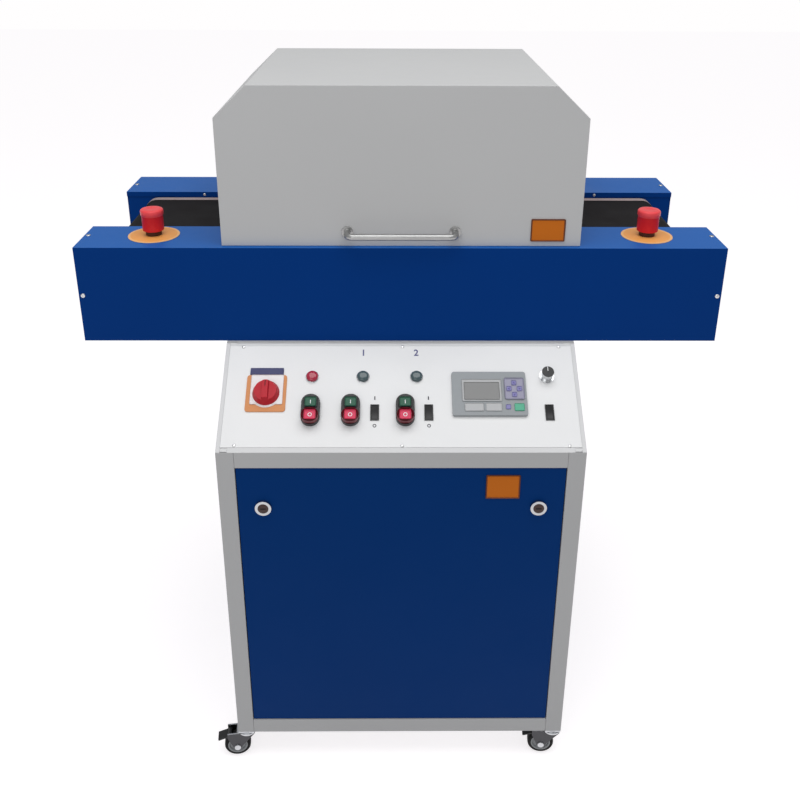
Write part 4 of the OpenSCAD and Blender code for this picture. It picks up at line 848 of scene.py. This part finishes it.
# Conveyor: two long covers of folded blue sheet over inner side plates, screwed on at their
# ends, and a zinc plated slider bed between the plates that carries the belt.
for node in ("rail_cover_front", "rail_cover_rear"):
    finish(from_cad(node, 1.4, 3), rail_paint, "cabinet")
finish(from_cad("conveyor_side_plates", 0.4), rail_paint, "cabinet")
rail_front, rail_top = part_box("rail_cover_front")[0].y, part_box("rail_cover_front")[1].z
rear_inner, rail_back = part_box("rail_cover_rear")[0].y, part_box("rail_cover_rear")[1].y
face_x, face_down = 0.5545, 0.0883
top_x, top_in = 0.554, 0.064
inner_x, inner_down = 0.402, 0.0052
places = []
for side in (-1, 1):
    places.append(axis_to((0, -1, 0), (side * face_x, rail_front, rail_top - face_down)))
    places.append(axis_to((0, 0, 1), (side * top_x, rail_front + top_in, rail_top)))
    places.append(axis_to((0, -1, 0), (side * inner_x, rear_inner, rail_top - inner_down)) @ small)
    places.append(axis_to((0, 1, 0), (side * face_x, rail_back, rail_top - face_down)))
    places.append(axis_to((0, 0, 1), (side * top_x, rail_back - top_in, rail_top)))
finish(copies(screw, places, "rail_screws"), screw_zinc, "cabinet")
finish(from_cad("slider_bed", 0.4), zinc, "cabinet")

# Belt: a dark coated mesh in one endless loop over both rollers, with a pale woven edge band
# along each side of it. The loop is a tube whose two halves are drawn apart.
weave_pitch = 0.004
weave_group, ins, outs = shader_group(
    "woven_cloth",
    [("Thread", COLOUR, (0.03, 0.03, 0.03, 1)), ("Gap", COLOUR, (0.01, 0.01, 0.01, 1))], EFFECTS)
at = add(weave_group, "TexCoord").outputs["Object"]
parts = add(weave_group, "SeparateXYZ", None, {0: at}).outputs
waves = []
for place in (combine(weave_group, "ADD", parts["X"], parts["Z"]), parts["Y"]):
    phase = combine(weave_group, "MULTIPLY", place, 2 * math.pi / weave_pitch)
    waves.append(combine(weave_group, "ABSOLUTE", combine(weave_group, "SINE", phase)))
mesh_height = combine(weave_group, "MAXIMUM", waves[0], waves[1])
worn = noise(weave_group, at, 14.0, 4.0)
woven_colour = blend(weave_group, mesh_height, ins["Gap"], ins["Thread"])
used = spread(weave_group, worn, 0.82, 1.12)
aged = add(weave_group, "HueSaturation", None, {"Color": woven_colour, "Value": used})
give_out(weave_group, outs, Colour=aged.outputs[0], Roughness=spread(weave_group, worn, 0.55, 0.75),
         Height=mesh_height)
belt_low, belt_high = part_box("belt")
loop_r = (belt_high.z - belt_low.z) / 2
loop_x = (belt_high.x - belt_low.x) / 2 - loop_r
loop_z = (belt_high.z + belt_low.z) / 2
loop_sides = 96


def woven(name, thread, gap):
    """Woven belt cloth: crossing threads that stand out, in two tones."""
    return surface(name, weave_group, {"Thread": (*thread, 1), "Gap": (*gap, 1)},
                   (0.6, 0.25), {"Specular IOR Level": 0.06})


def endless(name, y_low, y_high, outer, thick):
    """A closed loop of this outer radius at the rollers, between two places across the belt."""
    bpy.ops.object.select_all(action="DESELECT")
    bpy.ops.mesh.primitive_cylinder_add(vertices=loop_sides, radius=outer, depth=y_high - y_low,
                                        end_fill_type="NOTHING", rotation=(0, 0, math.pi / loop_sides))
    piece = bpy.context.object
    piece.name = name
    bpy.ops.object.transform_apply(rotation=True)
    piece.data.transform(Matrix.Rotation(math.pi / 2, 4, "X"))
    for vertex in piece.data.vertices:
        vertex.co.x += math.copysign(loop_x, vertex.co.x)
        vertex.co.z += loop_z
        vertex.co.y += (y_low + y_high) / 2
    modify(piece, "SOLIDIFY", thickness=thick, offset=-1, use_even_offset=True)
    return smooth(piece)


band_w, band_over, band_thick = 0.016, 0.0003, 0.0015
belt_in, belt_thick = 0.002, 0.0011
belt_look = woven("belt_mesh", (0.017, 0.015, 0.016), (0.006, 0.006, 0.006))
band_look = woven("belt_band", (0.42, 0.335, 0.33), (0.27, 0.21, 0.21))
belt = endless("belt_loop", belt_low.y + belt_in, belt_high.y - belt_in, loop_r - band_over, belt_thick)
finish(belt, belt_look, "cabinet")
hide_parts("belt")
for name, low, high in (("belt_band_front", belt_low.y, belt_low.y + band_w),
                        ("belt_band_rear", belt_high.y - band_w, belt_high.y)):
    finish(endless(name, low, high, loop_r, band_thick), band_look, "cabinet")

# Rollers: machined steel drums with turned-down journals. They run in cast flange bearings,
# which are bolted to the side plates.
machined = metal("machined_steel", (0.56, 0.56, 0.57), 0.26, 0.6, (0.1, 1, 1))
cast = coated("cast_iron_paint", (0.13, 0.135, 0.14), 0.5, peel=1.6, drift=0.10, dust=0.10, gloss=0.3)
for node in ("drive_roller", "idler_roller"):
    finish(from_cad(node, 0.6), machined, node)
finish(from_cad("roller_bearings", 0.5), cast, "cabinet")

# Gearmotor: a ribbed motor with a fan cowl and a terminal box, on a cast gearbox that sits
# on the drive roller's journal.
motor_paint = coated("motor_paint", (0.22, 0.235, 0.25), 0.42, peel=1.0, drift=0.08, dust=0.06, gloss=0.4)
finish(from_cad("gearmotor", 0.8), motor_paint, "cabinet")
motor_low, motor_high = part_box("gearmotor")
motor_r = 0.030
motor_axis_y = motor_high.y - motor_r
motor_axis_z = (motor_low.z + motor_high.z) / 2
rib_start, rib_pitch, rib_count, rib_foot = motor_low.x + 0.022, 0.0105, 10, 29.5
for rib in range(rib_count):
    fin = turned(f"motor_rib_{rib + 1}", [
        (rib_foot, -1.1), (32.6, -0.9), (33.2, 0), (32.6, 0.9), (rib_foot, 1.1), (rib_foot, -1.1)],
        ring=True)
    spot = axis_to((1, 0, 0), (rib_start + rib * rib_pitch, motor_axis_y, motor_axis_z))
    finish(set_at(fin, spot), motor_paint, "cabinet")

# Emergency stops: a yellow legend disc, a dark neck through the rail and a red mushroom head,
# all moulded, the head's top with a painted highlight. The neck's nut clamps the disc to the rail.
disc_yellow = moulded("stop_yellow", (0.83, 0.36, 0.09), 0.5, grain=0.3, drift=0.03)
disc_rim = moulded("stop_yellow_rim", (0.86, 0.47, 0.19), 0.5, grain=0.3, drift=0.03)
head_red = moulded("stop_red", (0.68, 0.012, 0.016), 0.42, gloss=0.3)
head_painted_highlight = moulded("stop_red_top", (0.86, 0.06, 0.07), 0.36)
neck_dark = moulded("stop_neck", (0.05, 0.012, 0.008), 0.45)
disc_r, field_r, neck_r, head_r, highlight_above = 45, 40.6, 13.9, 20, 0.0372
for side in ("left", "right"):
    head_low, head_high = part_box("estop_head_" + side)
    x, y = (head_low.x + head_high.x) / 2, (head_low.y + head_high.y) / 2
    spot = Matrix.Translation((x, y, rail_top))
    disc = turned("stop_disc_" + side, [(44.6, 0), (disc_r, 0.3), (44.8, 0.9), (44.2, 1.0)], 96)
    finish(set_at(disc, spot), disc_rim, "cabinet")
    field = turned("stop_disc_field_" + side, [(field_r, 0.6), (field_r, 1.1), (40.3, 1.2)], 96)
    finish(set_at(field, spot), disc_yellow, "cabinet")
    # The neck's near-black brown is partly its own dark colour and partly painted shade under the head.
    neck = turned("stop_neck_" + side, [
        (15, -45), (15, -1), (13, -0.5), (13.6, 1.0), (neck_r, 3.0), (neck_r, 13.4), (13.4, 14)])
    finish(set_at(neck, spot), neck_dark, "cabinet")
    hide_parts("estop_bases")
    head = turned("stop_head_" + side, [
        (14.6, 18.4), (14.6, 10.4), (15.4, 10), (17.8, 10), (18.5, 10.6), (18.6, 12), (18.7, 37),
        (19.2, 38.2), (head_r, 39.4), (head_r, 45.2), (19.4, 47.2), (18.0, 48.4), (16.2, 48.9),
        (8.0, 49.0), (7.0, 48.6), (2, 48.5)], 64)
    finish(set_at(head, spot), head_red, "estop_head_" + side)
    # The head's top quarter is painted a lighter red: a painted highlight for light from above.
    repaint(head, head_painted_highlight, lambda spot: spot.z > rail_top + highlight_above)
    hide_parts("estop_head_" + side)

# Hood: one shell of folded and powder coated sheet, with a bow handle of drawn steel screwed on
# in front and two zinc plated hinges at its back.
hood_paint = coated("hood_grey_paint", (0.555, 0.555, 0.555), 0.42, drift=0.03, gloss=0.3)
finish(from_cad("hood_shell", 0.7, 3), hood_paint, "hood")
handle_steel = metal("handle_steel", (0.40, 0.40, 0.395), 0.34, 0.6, (0.1, 1, 1))
finish(from_cad("hood_handle", 0.4, 3), handle_steel, "hood")
finish(from_cad("hinge_leaves_lower", 0.4), zinc, "cabinet")
finish(from_cad("hinge_leaves_upper", 0.4), zinc, "hood")
leaf_low, leaf_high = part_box("hinge_leaves_upper")
leaf_thick, screw_down = 0.002, 0.010
places = [axis_to((0, 1, 0), (x, leaf_low.y + leaf_thick, leaf_high.z - screw_down)) @ small
          for x in (-0.220, -0.180, 0.180, 0.220)]
finish(copies(screw, places, "hinge_screws"), screw_zinc, "hood")

# Exhaust: an axial fan in a moulded frame, screwed to the hood's back behind a zinc plated
# duct spigot.
frame_of_fan = from_cad("exhaust_fan_frame", 0.6)
finish(frame_of_fan, black_plastic, "hood")
spigot_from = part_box("hood_shell")[1].y - 0.0001
repaint(frame_of_fan, zinc, lambda spot: spot.y > spigot_from)
finish(from_cad("exhaust_fan_rotor", 0.5), black_plastic, "exhaust_fan_rotor")

# Lamps: two quartz tubes with ceramic ends, held under polished aluminium reflectors that
# hang from a carrier sheet.
quartz = lens("quartz_tube", (0.70, 0.74, 0.80), 0.06)
ceramic = moulded("lamp_ceramic", (0.78, 0.76, 0.72), 0.5)
polished = metal("polished_aluminium", (0.83, 0.84, 0.85), 0.16, 0.3, (1, 0.1, 1))
lamps = from_cad("uv_lamps", 0.5)
finish(lamps, quartz, "hood")
lamp_low, lamp_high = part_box("uv_lamps")
lamp_middle, lamp_half, ceramic_l = centre("uv_lamps").y, (lamp_high.y - lamp_low.y) / 2, 0.0215
repaint(lamps, ceramic, lambda spot: abs(spot.y - lamp_middle) > lamp_half - ceramic_l)
finish(from_cad("lamp_reflectors", 0.4), polished, "hood")

# Inside the cabinet: lamp ballasts with copper coils, bolted to the floor plate, moulded
# switchgear on a zinc plate, and a cable gland in the rear panel.
copper = metal("copper_wire", (0.62, 0.25, 0.12), 0.35, 0.8, (1, 1, 0.1))
finish(from_cad("ballasts", 0.8), cast, "cabinet")
finish(from_cad("mounting_plate", 0.4), zinc, "cabinet")
finish(from_cad("cable_gland", 0.4), black_plastic, "cabinet")
cover_side, cover_end, cover_h = 8, 16, 1.2
for part in loose_parts(from_cad("switchgear", 0.8)):
    part_x, wide = reach(part, 0)
    part_z, tall = reach(part, 2)
    face_y = min(vertex.co.y for vertex in part.data.vertices)
    part.name = "switchgear_" + place_tag(part_x / mm)
    finish(part, grey_plastic, "cabinet")
    spot = Matrix.Translation((part_x, face_y, part_z)) @ front_face
    size = (wide / mm - cover_side, tall / mm - cover_end, cover_h)
    fix_plate(part.name + "_cover", size, 2.0, 0.4, spot, black_plastic, "cabinet")
ballast_low, ballast_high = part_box("ballasts")
for side, x in (("left", -0.130), ("right", 0.130)):
    spot = Matrix.Translation((x, ballast_low.y, (ballast_low.z + ballast_high.z) / 2)) @ front_face
    fix_plate("ballast_coil_" + side, (66, 78, 9), 10, 2.0, spot, copper, "cabinet", 3)

bpy.data.objects.remove(screw)
